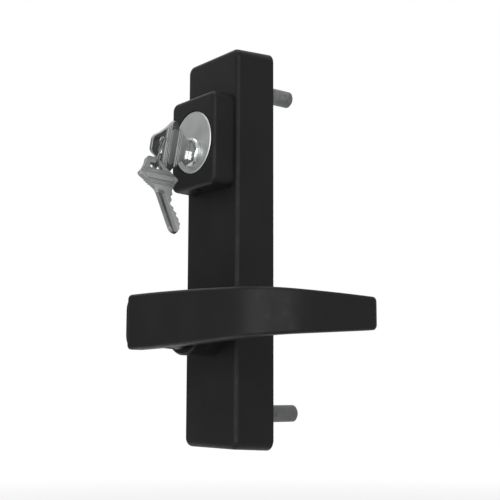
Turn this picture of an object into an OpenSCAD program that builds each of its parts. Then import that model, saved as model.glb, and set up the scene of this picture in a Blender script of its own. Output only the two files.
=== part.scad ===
// Lever trim for an exit device, seen from the corridor side of the door.
// The door's face is the plane Y = 0 and the trim stands out towards -Y.
// The origin is midway between the mounting posts, +Z is up and the lever points to +X.
// Heights below are counted from the lever's axis, and about_lever() moves each piece to the origin.

/* [Escutcheon] */
// Width of the escutcheon at the door
plate_w = 42; // [41:0.5:46]
// Height of the escutcheon at the door
plate_h = 183; // [180:1:200]
// Depth of the escutcheon from the door to its front face
plate_d = 20; // [19:0.5:24]
// Wall of the cast shell
shell_wall = 2.6; // [2.2:0.1:3]
// Draft of the cast sides in degrees
shell_draft = 3.3; // [1:0.1:4]
// Corner radius of the escutcheon at the door
shell_corner = 5; // [4.5:0.5:7]
// Fillet round the front face
shell_fillet = 2.2; // [1:0.1:2.4]
// Distance from the lever's axis down to the bottom edge
axis_to_bottom = 56.5; // [56:0.5:60]
// Thickness of the sheet steel back plate
back_t = 2; // [1.6:0.1:2.5]
// Height of the stiffening ribs inside the shell
rib_h = 5; // [3:0.5:5]

/* [Cylinder block] */
// Width of the block where it meets the escutcheon
block_w = 35; // [34.5:0.5:37]
// Height of the block where it meets the escutcheon
block_h = 43.6; // [43:0.2:46]
// Depth of the block in front of the escutcheon
block_d = 11; // [10:0.5:14]
// Draft of the block's sides in degrees
block_draft = 2.4; // [1:0.1:3]
// Corner radius of the block at its root
block_corner = 4; // [3.5:0.5:5]
// Fillet round the block's front face
block_fillet = 2; // [1:0.1:2.2]
// Distance from the escutcheon's top edge down to the cylinder's axis
cyl_from_top = 43.7; // [41:0.1:44.4]

/* [Cylinder] */
// Diameter of the cylinder's barrel
barrel_d = 29.4; // [28.8:0.1:29.6]
// Length of the barrel
barrel_len = 25.4; // [24.8:0.1:25.6]
// Diameter of the plug in the barrel
plug_d = 12.7; // [12.2:0.1:12.9]
// Drop of the plug's axis below the barrel's axis
plug_drop = 4.7; // [4.4:0.1:5]
// How far the plug's round nose stands proud of the face
plug_proud = 2.4; // [1.8:0.1:3]
// Number of pin stacks
pin_count = 5; // [3:1:5]
// Diameter of the pins
pin_d = 2.5; // [2.3:0.1:2.6]
// Spacing of the pin stacks
pin_pitch = 2.9; // [2.8:0.05:3.1]
// Distance from the plug's nose to the first pin
first_pin = 5.2; // [5:0.1:5.6]
// Length of the driver pins
driver_len = 4.2; // [3.5:0.1:4.6]
// Depth of the shallowest cut in the key
cut_shallow = 0.4; // [0.3:0.1:0.6]
// Step from one depth of cut to the next
cut_step = 0.4; // [0.3:0.05:0.4]

/* [Keys] */
// Thickness of the key's bow and blade
key_t = 2; // [1.8:0.1:2.1]
// Height of the key's blade
blade_h = 7; // [6.8:0.1:7.4]
// Length of the blade from its shoulder
blade_len = 19.6; // [19.4:0.1:21]
// Length of the bow
bow_len = 19.8; // [19:0.1:22]
// Width of the bow across its ears
bow_w = 23.4; // [21:0.1:25]
// Width of the slot in the bow, along the key
bow_slot_w = 3.6; // [3.5:0.1:3.8]
// Length of the slot in the bow, across the key
bow_slot_len = 7.6; // [7.2:0.1:8]
// Mean radius of the split ring
ring_r = 7.1; // [7:0.1:7.3]
// Radius of the ring's wire
ring_wire_r = 0.45; // [0.4:0.05:0.5]
// Turn of the inserted key from upright, as it is shown, in degrees
key_turn = 15; // [0:1:20]
// Lean of the spare key as it hangs, in degrees
spare_lean = 25; // [20:1:30]

/* [Lever] */
// Height of the lever at its hub end
lever_h_hub = 23.4; // [22:0.2:24]
// Height of the lever at its tip
lever_h_tip = 12.8; // [11:0.2:15]
// Thickness of the lever at its hub end
lever_t_hub = 9; // [8:0.5:11]
// Thickness of the lever at its tip
lever_t_tip = 7.5; // [6:0.5:8]
// Distance from the lever's axis to its hub end
lever_back = 17; // [15:0.5:19]
// Length of the straight bar from the axis to the bend
lever_bar = 71; // [60:1:85]
// Inner radius of the bend
bend_r = 4; // [3:0.5:8]
// Angle of the bend in degrees
bend_deg = 66; // [50:1:75]
// Length of the leg that returns to the door
return_len = 42; // [34:1:43]
// How far the lever's front face stands off the door
lever_out = 55.5; // [55:0.5:62]
// Radius of the lever's neck
neck_r = 12; // [11.4:0.1:12.6]

/* [Hub] */
// Outer radius of the hub collar
collar_r = 14.5; // [14:0.1:15]
// How far the collar stands in front of the escutcheon
collar_out = 15.3; // [13:0.1:16]
// Gap between the collar and the lever's neck
neck_gap = 1.2; // [0.8:0.1:1.5]
// Radius of the spindle's journal
journal_r = 9; // [8.6:0.1:9.2]
// Wall of the bronze bush in the collar
bush_wall = 1.2; // [1:0.1:1.4]
// Side of the spindle's square
square_s = 8; // [7:0.2:8.4]
// Turn of the lever in degrees
lever_turn = 45; // [30:1:45]

/* [Slides] */
// Thickness of the slides
slide_t = 2.4; // [2:0.1:2.6]
// Module of the drive pinion and its rack
drive_module = 1.5; // [1.4:0.05:1.55]
// Teeth on the drive pinion
drive_teeth = 12; // [11:1:12]
// Module of the cam's pinion and its rack
lock_module = 1; // [0.95:0.05:1.05]
// Teeth on the cam's pinion
lock_teeth = 10; // [9:1:10]
// Height of the drive lug's middle above the middle of the posts
lug_rise = 7.75; // [6:0.25:9.5]
// How far the drive lug reaches through the door's face
lug_out = 11; // [8:0.5:13]
// How far the key slide's tab reaches through the door's face
tab_out = 7; // [5:0.5:10]
// Radius of the guide pins
guide_r = 1.5; // [1.3:0.1:1.6]

/* [Mounting posts] */
// Diameter of the mounting posts
post_d = 7.94; // [7.5:0.01:8.5]
// Distance from the escutcheon's top edge down to the upper post
post_from_top = 13.3; // [12.5:0.1:14]
// Distance from the escutcheon's bottom edge up to the lower post
post_from_bottom = 15.8; // [15:0.1:17.5]
// Depth of each post's root in the cover
post_root = 14; // [10:0.5:14.5]
// Step from a post's root out to its shoulder
post_shoulder = 0.6; // [0.4:0.1:1]
// Length of the upper post behind the door's face
post_up_out = 27; // [20:0.5:40]
// Length of the lower post behind the door's face
post_down_out = 29.6; // [20:0.5:40]
// Radius of the tapped hole in each post
post_tap_r = 2.1; // [1.8:0.1:2.5]
// Depth of the tapped hole in each post
post_tap_depth = 11; // [8:0.5:11]

/* [Hidden] */
$fn = 48;
eps = 0.02;
fit = 0.05;            // radial clearance of a running fit
snug = 0.02;           // radial clearance of pieces that are screwed or pressed together
slide_gap = 0.2;       // gap between a slide and the back plate
head_gap = 0.1;        // gap in front of a slide
bore_fn = 64;

// Levels along Y, from the door outwards
y_plate = -back_t;
y_slide = y_plate - slide_gap;
y_slide_front = y_slide - slide_t;
y_wall = -(plate_d - shell_wall);
y_face = -plate_d;
y_block = -(plate_d + block_d);
y_barrel_back = y_block + barrel_len;
y_nose = y_block - plug_proud;
y_collar = y_face - collar_out;
y_neck = y_collar - neck_gap;
y_lever = -lever_out;

post_r = post_d / 2;
post_up = plate_h - axis_to_bottom - post_from_top;
post_down = axis_to_bottom - post_from_bottom;
lever_z = -(post_up - post_down) / 2;     // the lever's axis below the middle of the posts
cyl_z = plate_h - axis_to_bottom - cyl_from_top;
lug_z = lug_rise - lever_z;
root_r = post_r - post_shoulder;
nut_r = 15.6;
plate_z = plate_h / 2 - axis_to_bottom;   // middle of the escutcheon
plug_z = cyl_z - plug_drop;
barrel_r = barrel_d / 2;
plug_r = plug_d / 2;
pin_r = pin_d / 2;

// Key and pins
key_bits = [4, 2, 1, 0, 2];               // depth step of each cut, from the shoulder on
blade_top = blade_h / 2;                  // top of the blade above the plug's axis
cut_flat = 0.7;                           // flat at the bottom of each cut
function pin_y(i) = y_nose + first_pin + i * pin_pitch;
function cut_depth(i) = cut_shallow + key_bits[i] * cut_step;
chamber_r = pin_r + fit;
cover_t = 0.9;
cover_w = 3.4;
cover_z = cyl_z + sqrt(pow(barrel_r, 2) - pow(cover_w / 2, 2)) - cover_t - 0.2;
driver_z = plug_z + plug_r + fit + snug;
face_edge = 0.7;       // bevel round the barrel's face
plug_rim_r = plug_r + 0.6;
rim_t = 0.85;          // depth of the plug's rim in the barrel
nose_r = 1.6;          // rounding of the plug's nose
cam_screw_z = 2.7;
cam_screw_r = 1;
cam_head_r = 1.45;
y_cam_head = y_slide - 1.1;

// Collar and its clamp
shank_r = 11.5;
nut_t = 3.4;
y_collar_back = y_wall + nut_t + 0.4;
washer_t = 0.5;
ring_t = 1;
y_ring = y_collar_back + washer_t + head_gap;
y_square = y_ring + ring_t + 0.4;
rim_edge = 0.8;        // chamfer round the collar's mouth
groove_r = journal_r - 0.7;

// Spigot of the spindle in the lever, and the set screw that holds it
spigot_r = 7;
y_spigot = y_lever + 5.5;
set_r = 2.5;
set_len = 5;
set_y = y_neck - 5.5;
set_flat = spigot_r - 0.8;

// Pinions and racks, with stub teeth on the racks so that nothing is undercut
pressure = 20;
drive_r = drive_module * drive_teeth / 2;
lock_r = lock_module * lock_teeth / 2;
function rack_add(m, r) = min(0.65 * m, r * pow(sin(pressure), 2) - 0.03);
drive_travel = drive_r * lever_turn * PI / 180;
lock_travel = lock_r * PI / 2;
gear_add = 0.85;
play = 0.12;           // play between two flanks

// Lift slide
lift_left = -16.9;
lift_right = 13;
lift_bar = -(drive_r + gear_add * drive_module + 0.35);
lift_top = lug_z + 10;
lift_guides = [[(lift_left + lift_bar) / 2, lug_z - 14], [8.4, lug_z + 5]];
lug_w = 6;
lug_h = 9;
rivet_r = guide_r + 1.1;
rivet_t = 0.8;

// Lock slide
lock_left = lock_r + gear_add * lock_module + 0.35;
lock_w = 8;
lock_bottom = lift_top + drive_travel + lock_travel + 0.6;
lock_x = lock_left + lock_w / 2;
lock_guides = [[lock_x, lock_bottom + 9.5], [lock_x, lock_bottom + 12.1 + lock_travel + 2 * guide_r]];
tab_w = 4;             // tab that takes the key's turn through the door's face
tab_h = 5;
tab_z = lock_bottom + 0.8;
lock_top = lock_guides[1][1] + lock_travel + guide_r + 2.6;
cam_r = plug_r + 1;
cam_t = min(0.8, y_slide_front - head_gap - y_barrel_back - head_gap);
y_cam = y_barrel_back + head_gap;

// Return spring round the pinion's hub
spring_wire = 0.7;
hub_r = 8.4;
spring_r = hub_r + 0.3 + spring_wire;
flange_r = spring_r + spring_wire + 1;
y_flange = y_slide_front - head_gap;
flange_t = 1.2;
spring_turns = 2.25;
tang_a = 98;           // place of the tang's hole in the flange, in degrees
y_spring = y_flange - flange_t - 0.15 - spring_wire;
spring_pitch = 2 * spring_wire + 0.06;
stop_r = 2;            // boss in the shell that the spring's leg bears on
boss_wall = 3.5;       // wall of the bosses round the posts

// Screws
screw_r = 1.5;
head_r = 2.75;
plate_screw_x = plate_w / 2 - shell_wall - 5.4;
plate_screws = [for (z = [plate_h / 2 - 8.5, -plate_h / 2 + 8]) for (s = [-1, 1])
    [s * plate_screw_x, plate_z + z]];
block_screw_z = block_h / 2 - 4.2;
block_screws = [for (z = [-block_screw_z, block_screw_z]) for (s = [-1, 1])
    [s * (block_w / 2 - 4.7), cyl_z + z]];
set_screw_y = y_face - block_d / 2;
cyl_set_r = 2;         // radius of the screw that holds the barrel in the block

// Shared shapes

// Moves a piece drawn about the lever's axis to its place below the middle of the posts
module about_lever() {
    translate([0, 0, lever_z]) children();
}

// A cylinder along Y from y0 outwards to y1, where y1 lies further from the door
module rod(r, y0, y1, fn = bore_fn) {
    translate([0, y0, 0]) rotate([90, 0, 0]) cylinder(r = r, h = y0 - y1, $fn = fn);
}

// A turned piece along Y: its profile is a list of [radius, Y]
module turned(profile, fn = bore_fn) {
    rotate([90, 0, 0]) rotate_extrude($fn = fn) polygon([for (p = profile) [p[0], -p[1]]]);
}

// A plate cut from an outline in XZ, between two levels of Y
module sheet(y0, y1) {
    translate([0, y0, 0]) rotate([90, 0, 0]) linear_extrude(y0 - y1) children();
}

// The revolved corner of a drafted box, with its front fillet
module box_corner(depth, corner, fillet, draft, behind) {
    lean = tan(draft);
    y_arc = depth - fillet;
    x_arc = corner - (y_arc + fillet * sin(draft)) * lean - fillet * cos(draft);
    rotate([90, 0, 0]) rotate_extrude($fn = 32) polygon(concat(
        [[0, -behind], [corner + behind * lean, -behind]],
        [for (k = [0:5]) let (a = draft + k * (90 - draft) / 5)
            [x_arc + fillet * cos(a), y_arc + fillet * sin(a)]],
        [[0, depth]]));
}

// A cast box whose sides lean in by the draft from the plane Y = 0 outwards
module drafted_box(w, h, depth, corner, fillet, draft, behind = 0) {
    hull() for (sx = [-1, 1]) for (sz = [-1, 1])
        translate([sx * (w / 2 - corner), 0, sz * (h / 2 - corner)])
            box_corner(depth, corner, fillet, draft, behind);
}

// A rectangle with round corners, centred
module round_rect(w, h, r) {
    square([w - 2 * r, h], center = true);
    square([w, h - 2 * r], center = true);
    for (sx = [-1, 1]) for (sz = [-1, 1]) translate([sx * (w / 2 - r), sz * (h / 2 - r)])
        circle(r = r, $fn = 32);
}

// A slot along Z with round ends
module slot(r, z0, z1) {
    translate([0, z0]) circle(r = r, $fn = bore_fn);
    translate([0, z1]) circle(r = r, $fn = bore_fn);
    translate([-r, z0]) square([2 * r, z1 - z0]);
}

// The involute outline of one pinion, with its first tooth on the +X axis
function inv(a) = tan(a) * 180 / PI - a;
function half_tooth(r, rp, rb, n) =
    90 / n - play * 45 / (PI * rp) + inv(pressure) - inv(acos(min(1, rb / max(r, rb))));
function tooth_side(rp, rb, ra, rr, n) = concat(
    [[rr, half_tooth(rb, rp, rb, n)]],
    [for (k = [0:4]) let (r = rb + (ra - rb) * k / 4) [r, half_tooth(r, rp, rb, n)]]);
module pinion_outline(m, n) {
    rp = m * n / 2;
    rb = rp * cos(pressure);
    side = tooth_side(rp, rb, rp + gear_add * m, rp - rack_add(m, rp) - 0.3 * m, n);
    count = len(side);
    polygon([for (t = [0:n - 1]) for (k = [0:2 * count - 1])
        let (p = k < count ? side[k] : side[2 * count - 1 - k], s = k < count ? -1 : 1,
            a = t * 360 / n + s * p[1])
        [p[0] * cos(a), p[0] * sin(a)]]);
}

// Teeth of a rack that point to +X from the line x = base, with a gap centred at z = 0
module rack_teeth(m, rp, base, first, last) {
    tip = rack_add(m, rp);
    half = PI * m / 4 - play / 4;
    flank = tan(pressure);
    for (k = [first:last]) translate([0, (k + 0.5) * PI * m])
        polygon([[base - eps, -half - (rp + base) * -flank], [rp * -1 + tip, -half + tip * flank],
            [rp * -1 + tip, half - tip * flank], [base - eps, half + (rp + base) * -flank]]);
}

// A round wire along a path of [point, side vector] pairs
function unit(v) = v / norm(v);
module wire(path, r, sides) {
    n = len(path);
    points = [for (i = [0:n - 1])
        let (p = path[i][0], ahead = path[min(i + 1, n - 1)][0], back = path[max(i - 1, 0)][0],
            t = unit(ahead - back), u = unit(cross(t, path[i][1])), v = cross(u, t))
        for (k = [0:sides - 1]) let (a = 360 * k / sides) p + r * (cos(a) * v + sin(a) * u)];
    walls = [for (i = [0:n - 2]) for (k = [0:sides - 1]) let (j = (k + 1) % sides)
        each [[i * sides + k, i * sides + j, (i + 1) * sides + j],
            [i * sides + k, (i + 1) * sides + j, (i + 1) * sides + k]]];
    polyhedron(points, concat([[for (k = [sides - 1:-1:0]) k]], walls,
        [[for (k = [0:sides - 1]) (n - 1) * sides + k]]));
}

// A pan head screw along Y: its head's bearing face is at y0 and its shank runs to -Y
module pan_screw(length, y0) {
    turned([[0, y0 + 1.8], [head_r - 0.7, y0 + 1.8], [head_r - 0.2, y0 + 1.3], [head_r, y0 + 0.7],
        [head_r, y0], [screw_r, y0], [screw_r, y0 - length + 0.6], [screw_r - 0.5, y0 - length],
        [0, y0 - length]], 48);
}

// Escutcheon and block

module screw_boss(y0) {
    rod(3.2, y0, y_wall - eps, 48);
}

module cover_shell() {
    inner_corner = shell_corner - shell_wall + 0.2;
    difference() {
        translate([0, 0, plate_z])
            drafted_box(plate_w, plate_h, plate_d, shell_corner, shell_fillet, shell_draft);
        translate([0, 0, plate_z]) drafted_box(plate_w - 2 * shell_wall, plate_h - 2 * shell_wall,
            plate_d - shell_wall, inner_corner, 1, shell_draft, 1);
    }
}

module cover_ribs() {
    for (z = [-nut_r - 11.4, nut_r + 8.4, cyl_z - block_h / 2 - 14])
        translate([-plate_w / 2 + shell_wall, y_wall - eps, z - 1])
        cube([plate_w - 2 * shell_wall, rib_h + eps, 2]);
}

module escutcheon_cover() {
    color([0.15, 0.15, 0.15]) about_lever() difference() {
        union() {
            cover_shell();
            intersection() {
                union() {
                    cover_ribs();
                    for (p = plate_screws) translate([p[0], 0, p[1]]) screw_boss(y_plate);
                    for (z = [post_up, -post_down]) translate([0, 0, z])
                        rod(post_r + boss_wall, y_plate, y_wall - eps);
                    translate([spring_r + spring_wire + stop_r + fit, 0, -14])
                        rod(stop_r, y_spring + 1, y_wall - eps, 32);
                }
                translate([0, 0, plate_z])
                    drafted_box(plate_w - 1, plate_h - 1, plate_d - 0.5, shell_corner, 1, shell_draft);
            }
        }
        rod(shank_r + fit, 1, y_face - 1);
        translate([0, 0, cyl_z]) rod(barrel_r + fit, 1, y_face - 1);
        for (p = block_screws) translate([p[0], 0, p[1]]) rod(screw_r + 0.2, y_wall + 1, y_face - 1, 32);
        for (p = plate_screws) translate([p[0], 0, p[1]]) rod(screw_r + snug, 1, y_plate - 9, 32);
        for (z = [post_up, -post_down]) translate([0, 0, z]) rod(root_r + snug, 1, -post_root - fit);
    }
}

module cylinder_block() {
    color([0.16, 0.16, 0.16]) about_lever() difference() {
        translate([0, y_face, cyl_z])
            drafted_box(block_w, block_h, block_d, block_corner, block_fillet, block_draft);
        translate([0, 0, cyl_z]) rod(barrel_r + fit, y_face + 1, y_block - 1);
        for (p = block_screws) translate([p[0], 0, p[1]]) rod(screw_r + snug, y_face + 1, y_face - 8, 32);
        translate([0, set_screw_y, cyl_z - block_h / 2 - 1])
            cylinder(r = cyl_set_r + snug, h = block_h / 2, $fn = 48);
        translate([-7, y_face - block_d + 4, cyl_z + barrel_r + 2]) cube([14, block_d - 3, 3.2]);
    }
}

module block_screws() {
    color([0.6, 0.6, 0.6]) about_lever() for (p = block_screws)
        translate([p[0], 0, p[1]]) pan_screw(shell_wall + 6.8, y_wall);
}

module back_plate_holes() {
    circle(r = 3.5 + fit, $fn = bore_fn);
    translate([0, plug_z]) circle(r = 6, $fn = bore_fn);
    for (z = [post_up, -post_down]) translate([0, z]) circle(r = root_r + 0.15, $fn = bore_fn);
    for (p = guide_places()) translate(p) circle(r = guide_r + snug, $fn = 48);
    translate([0, lug_z + drive_travel / 2]) round_rect(lug_w + 0.6, lug_h + drive_travel + 0.8, 1);
    translate([lock_x, tab_z + (tab_h - lock_travel) / 2])
        round_rect(tab_w + 0.6, tab_h + lock_travel + 0.8, 1);
}

module back_plate() {
    gap = 0.3;
    color([0.62, 0.63, 0.64]) about_lever() difference() {
        sheet(0, y_plate) difference() {
            translate([0, plate_z]) round_rect(plate_w - 2 * (shell_wall + gap),
                plate_h - 2 * (shell_wall + gap), 2);
            back_plate_holes();
        }
        for (p = plate_screws) translate([p[0], 0, p[1]])
            turned([[0, eps], [head_r + 0.12, eps], [screw_r + 0.12, -1.2],
                [screw_r + 0.12, y_plate - 1], [0, y_plate - 1]], 48);
    }
}

module plate_screws() {
    color([0.6, 0.6, 0.6]) about_lever() for (p = plate_screws) translate([p[0], 0, p[1]]) difference() {
        turned([[0, -0.05], [head_r, -0.05], [screw_r, -1.25], [screw_r, -9], [screw_r - 0.5, -9.6],
            [0, -9.6]], 48);
        translate([-head_r, -0.55, -0.35]) cube([2 * head_r, 1, 0.7]);
    }
}

// Mounting posts: the root is pressed into the cover, the shoulder seats on the back plate,
// and the end is tapped for a machine screw through the door

module post(length) {
    difference() {
        turned([[0, -post_root], [root_r - 0.8, -post_root], [root_r, 0.8 - post_root], [root_r, 0],
            [post_r, 0], [post_r, length - 0.9], [post_r - 0.9, length], [0, length]]);
        turned([[0, length + 1], [post_tap_r, length + 1], [post_tap_r, length - post_tap_depth],
            [0, length - post_tap_depth - 1.2]]);
    }
}

module upper_post() {
    color([0.45, 0.46, 0.46]) about_lever() translate([0, 0, post_up]) post(post_up_out);
}

module lower_post() {
    color([0.45, 0.46, 0.46]) about_lever() translate([0, 0, -post_down]) post(post_down_out);
}

// Hub: the collar is clamped in the front wall by a hexagon nut and lined with a bush

module hub_collar() {
    bore = journal_r + fit + bush_wall + snug;
    color([0.13, 0.13, 0.13]) about_lever()
        turned([[bore, y_collar_back], [shank_r, y_collar_back], [shank_r, y_face],
            [collar_r, y_face], [collar_r, y_collar + rim_edge], [collar_r - rim_edge, y_collar],
            [bore, y_collar]], 96);
}

module collar_nut() {
    color([0.6, 0.6, 0.58]) about_lever() sheet(y_wall + nut_t, y_wall) difference() {
        circle(r = nut_r, $fn = 6);
        circle(r = shank_r + snug, $fn = bore_fn);
    }
}

module spindle_bush() {
    inner = journal_r + fit;
    color([0.7, 0.55, 0.3]) about_lever()
        turned([[inner, y_collar_back], [inner + bush_wall, y_collar_back],
            [inner + bush_wall, y_collar + 0.4], [inner, y_collar + 0.4]], 96);
}

module thrust_washer() {
    color([0.7, 0.7, 0.7]) about_lever() sheet(y_collar_back + washer_t, y_collar_back) difference() {
        circle(r = 12.4, $fn = bore_fn);
        circle(r = journal_r + fit, $fn = bore_fn);
    }
}

// Shoulder rivets in the back plate that guide both slides by their slots

function guide_places() = concat(lift_guides, lock_guides);

module guide_pins() {
    top = y_slide_front - head_gap;
    color([0.7, 0.7, 0.72]) about_lever() for (p = guide_places()) translate([p[0], 0, p[1]])
        turned([[0, -0.1], [guide_r, -0.1], [guide_r, top], [rivet_r, top],
            [rivet_r, top - rivet_t + 0.2], [rivet_r - 0.2, top - rivet_t], [0, top - rivet_t]], 48);
}

// Torsion spring: a tang in the pinion's flange, the coil, and a straight leg against the shell's boss

function spring_point(a, y) = [spring_r * cos(a), y, spring_r * sin(a)];
function spring_side(a) = [cos(a), 0, sin(a)];
module return_spring() {
    steps = 24;
    last = spring_turns * steps;
    start = 90;
    tang_turn = [0, 0, 1.5, 6];
    tang_rise = [1.6, 0.85, 0.35, 0.06];
    tang = [for (k = [0:3])
        [spring_point(tang_a - tang_turn[k], y_spring + tang_rise[k]), spring_side(tang_a)]];
    coil = [for (k = [1:last]) let (a = start - k * 360 / steps)
        [spring_point(a, y_spring - k * spring_pitch / steps), spring_side(a)]];
    end = start - 360 * spring_turns;
    y_end = y_spring - spring_turns * spring_pitch;
    leg = [for (k = [1:3]) [spring_point(end, y_end) + k * 5.6 * [sin(end), 0, -cos(end)],
        spring_side(end)]];
    color([0.5, 0.5, 0.52]) about_lever() wire(concat(tang, coil, leg), spring_wire, 8);
}

// Cylinder

module keyway_outline(grow) {
    half = key_t / 2 + grow;
    low = blade_top - blade_h;
    ward = blade_top - 2.2 + grow;
    polygon([[half, low - grow], [-half, low - grow], [-half, ward], [-half + 0.5, ward - 0.3],
        [-half + 0.5, blade_top + grow], [half, blade_top + grow], [half, low + 2.7 - grow],
        [half - 0.5, low + 2.4 - grow], [half - 0.5, low + 1.6 + grow], [half, low + 1.3 + grow]]);
}

module cylinder_shell() {
    color([0.68, 0.69, 0.69]) about_lever() difference() {
        translate([0, 0, cyl_z]) turned([[0, y_barrel_back], [barrel_r - 0.5, y_barrel_back],
            [barrel_r, y_barrel_back - 0.5], [barrel_r, y_block + face_edge],
            [barrel_r - face_edge, y_block], [0, y_block]], 96);
        translate([0, 0, plug_z]) turned([[0, y_barrel_back + 1], [plug_r + fit, y_barrel_back + 1],
            [plug_r + fit, y_block + rim_t + fit], [plug_rim_r + fit, y_block + rim_t + fit],
            [plug_rim_r + fit, y_block - 1], [0, y_block - 1]], 96);
        for (i = [0:pin_count - 1]) translate([0, pin_y(i), plug_z])
            cylinder(r = chamber_r, h = barrel_d, $fn = bore_fn);
        translate([-cover_w / 2, pin_y(0) - 2.4, cover_z])
            cube([cover_w, (pin_count - 1) * pin_pitch + 4.8, 5]);
        translate([0, set_screw_y, cyl_z - barrel_r - 1]) cylinder(r = cyl_set_r + fit, h = 2, $fn = 48);
    }
}

module chamber_cover() {
    color([0.75, 0.6, 0.3]) about_lever() translate([-cover_w / 2 + snug, pin_y(0) - 2.4 + snug, cover_z])
        cube([cover_w - 2 * snug, (pin_count - 1) * pin_pitch + 4.8 - 2 * snug, cover_t]);
}

module driver_pins() {
    color([0.72, 0.58, 0.3]) about_lever() for (i = [0:pin_count - 1]) translate([0, pin_y(i), driver_z])
        rotate_extrude($fn = 32) polygon([[0, 0], [pin_r, 0], [pin_r, driver_len - 0.3],
            [pin_r - 0.3, driver_len], [0, driver_len]]);
}

module pin_springs() {
    z0 = driver_z + driver_len;
    wire_r = 0.16;
    room = cover_z - z0 - 2 * wire_r - 0.1;
    steps = 10;
    turns = 6;
    coil_r = pin_r - wire_r;
    helix = [for (k = [0:turns * steps]) let (a = k * 360 / steps)
        [[coil_r * cos(a), coil_r * sin(a), room * k / (turns * steps)], [cos(a), sin(a), 0]]];
    color([0.75, 0.75, 0.75]) about_lever()
        for (i = [0:pin_count - 1]) translate([0, pin_y(i), z0 + wire_r + 0.05]) wire(helix, wire_r, 4);
}

module cylinder_set_screw() {
    color([0.35, 0.35, 0.36]) about_lever() translate([0, set_screw_y, 0]) difference() {
        translate([0, 0, cyl_z - barrel_r - 6]) rotate_extrude($fn = 48)
            polygon([[0, 0], [cyl_set_r, 0], [cyl_set_r, 6.2], [cyl_set_r - 0.6, 6.9], [0, 6.9]]);
        translate([0, 0, cyl_z - barrel_r - 7]) cylinder(r = 1.15, h = 3, $fn = 6);
    }
}

// Moves what turns with the plug from the upright key to the turn that is shown
module with_plug() {
    translate([0, 0, plug_z]) rotate([0, key_turn, 0]) translate([0, 0, -plug_z]) children();
}

module plug() {
    keyway_len = first_pin + (pin_count - 1) * pin_pitch + 3.2;
    nose = [for (k = [0:6]) let (a = k * 15)
        [plug_rim_r - nose_r + nose_r * cos(a), y_nose + nose_r - nose_r * sin(a)]];
    color([0.8, 0.8, 0.8]) about_lever() with_plug() difference() {
        translate([0, 0, plug_z]) turned(concat([[0, y_barrel_back + fit], [plug_r, y_barrel_back + fit],
            [plug_r, y_block + rim_t], [plug_rim_r, y_block + rim_t]], nose, [[0, y_nose]]), 96);
        translate([0, 0, plug_z]) sheet(y_nose + keyway_len, y_nose - 1) keyway_outline(0.12);
        for (i = [0:pin_count - 1]) translate([0, pin_y(i), plug_z + 0.8])
            cylinder(r = chamber_r, h = plug_r, $fn = bore_fn);
        for (s = [-1, 1]) translate([0, 0, plug_z + s * cam_screw_z])
            rod(cam_screw_r + snug, y_barrel_back + 1, y_barrel_back - 3.6, 32);
    }
}

// Each key pin is as long as its cut is deep, so that all of them end at the plug's edge
module key_pins() {
    color([0.74, 0.6, 0.32]) about_lever() with_plug() for (i = [0:pin_count - 1]) {
        z0 = blade_top - cut_depth(i) + 0.03;
        z1 = sqrt(pow(plug_r, 2) - pow(pin_r, 2)) - 0.01;
        tip = cut_flat / 2;
        translate([0, pin_y(i), plug_z]) rotate_extrude($fn = 32)
            polygon([[0, z0], [tip, z0], [pin_r, z0 + pin_r - tip], [pin_r, z1], [pin_r - 0.4, z1 + 0.1],
                [0, z1 + 0.1]]);
    }
}

// Cam on the back of the plug: a disc that holds the plug in, and a pinion for the lock slide
module plug_cam() {
    color([0.62, 0.62, 0.6]) about_lever() with_plug() translate([0, 0, plug_z]) difference() {
        union() {
            rod(cam_r, y_cam + cam_t, y_cam);
            sheet(y_slide - 0.05, y_cam + cam_t - eps) pinion_outline(lock_module, lock_teeth);
        }
        for (s = [-1, 1]) translate([0, 0, s * cam_screw_z]) {
            rod(cam_screw_r + snug, 0, y_cam - 1, 32);
            rod(cam_head_r + fit, 0, y_cam_head, 32);
        }
    }
}

module cam_screws() {
    y0 = y_cam_head;
    color([0.6, 0.6, 0.6]) about_lever() with_plug()
        for (s = [-1, 1]) translate([0, 0, plug_z + s * cam_screw_z])
            turned([[0, y0 + 1], [cam_head_r - 0.25, y0 + 1], [cam_head_r, y0 + 0.7], [cam_head_r, y0],
                [cam_screw_r, y0], [cam_screw_r, y_barrel_back - 3.4], [0, y_barrel_back - 3.4]], 32);
}

// Lever

// Plan of the lever's front face as a path: [point, direction] at a distance along it
bend_mid = bend_r + lever_t_hub;
leg_curl = 0.35;       // degrees that the leg turns for each millimetre
bend_arc = bend_mid * bend_deg * PI / 180;
lever_len = lever_back + lever_bar + bend_arc + return_len;
function bar_dir(s) = s < lever_back + lever_bar ? 0 :
    s < lever_back + lever_bar + bend_arc ? (s - lever_back - lever_bar) / bend_arc * bend_deg :
    bend_deg + (s - lever_back - lever_bar - bend_arc) * leg_curl;
function bar_point(s) = s < lever_back + lever_bar ? [s - lever_back, y_lever] :
    let (a = bar_dir(min(s, lever_back + lever_bar + bend_arc)), c = [lever_bar, y_lever + bend_mid],
        p = c + bend_mid * [sin(a), -cos(a)], over = s - lever_back - lever_bar - bend_arc)
    over <= 0 ? p : let (k = leg_curl * PI / 180)
        p + [(sin(a + over * leg_curl) - sin(a)) / k, (cos(a) - cos(a + over * leg_curl)) / k];

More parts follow.
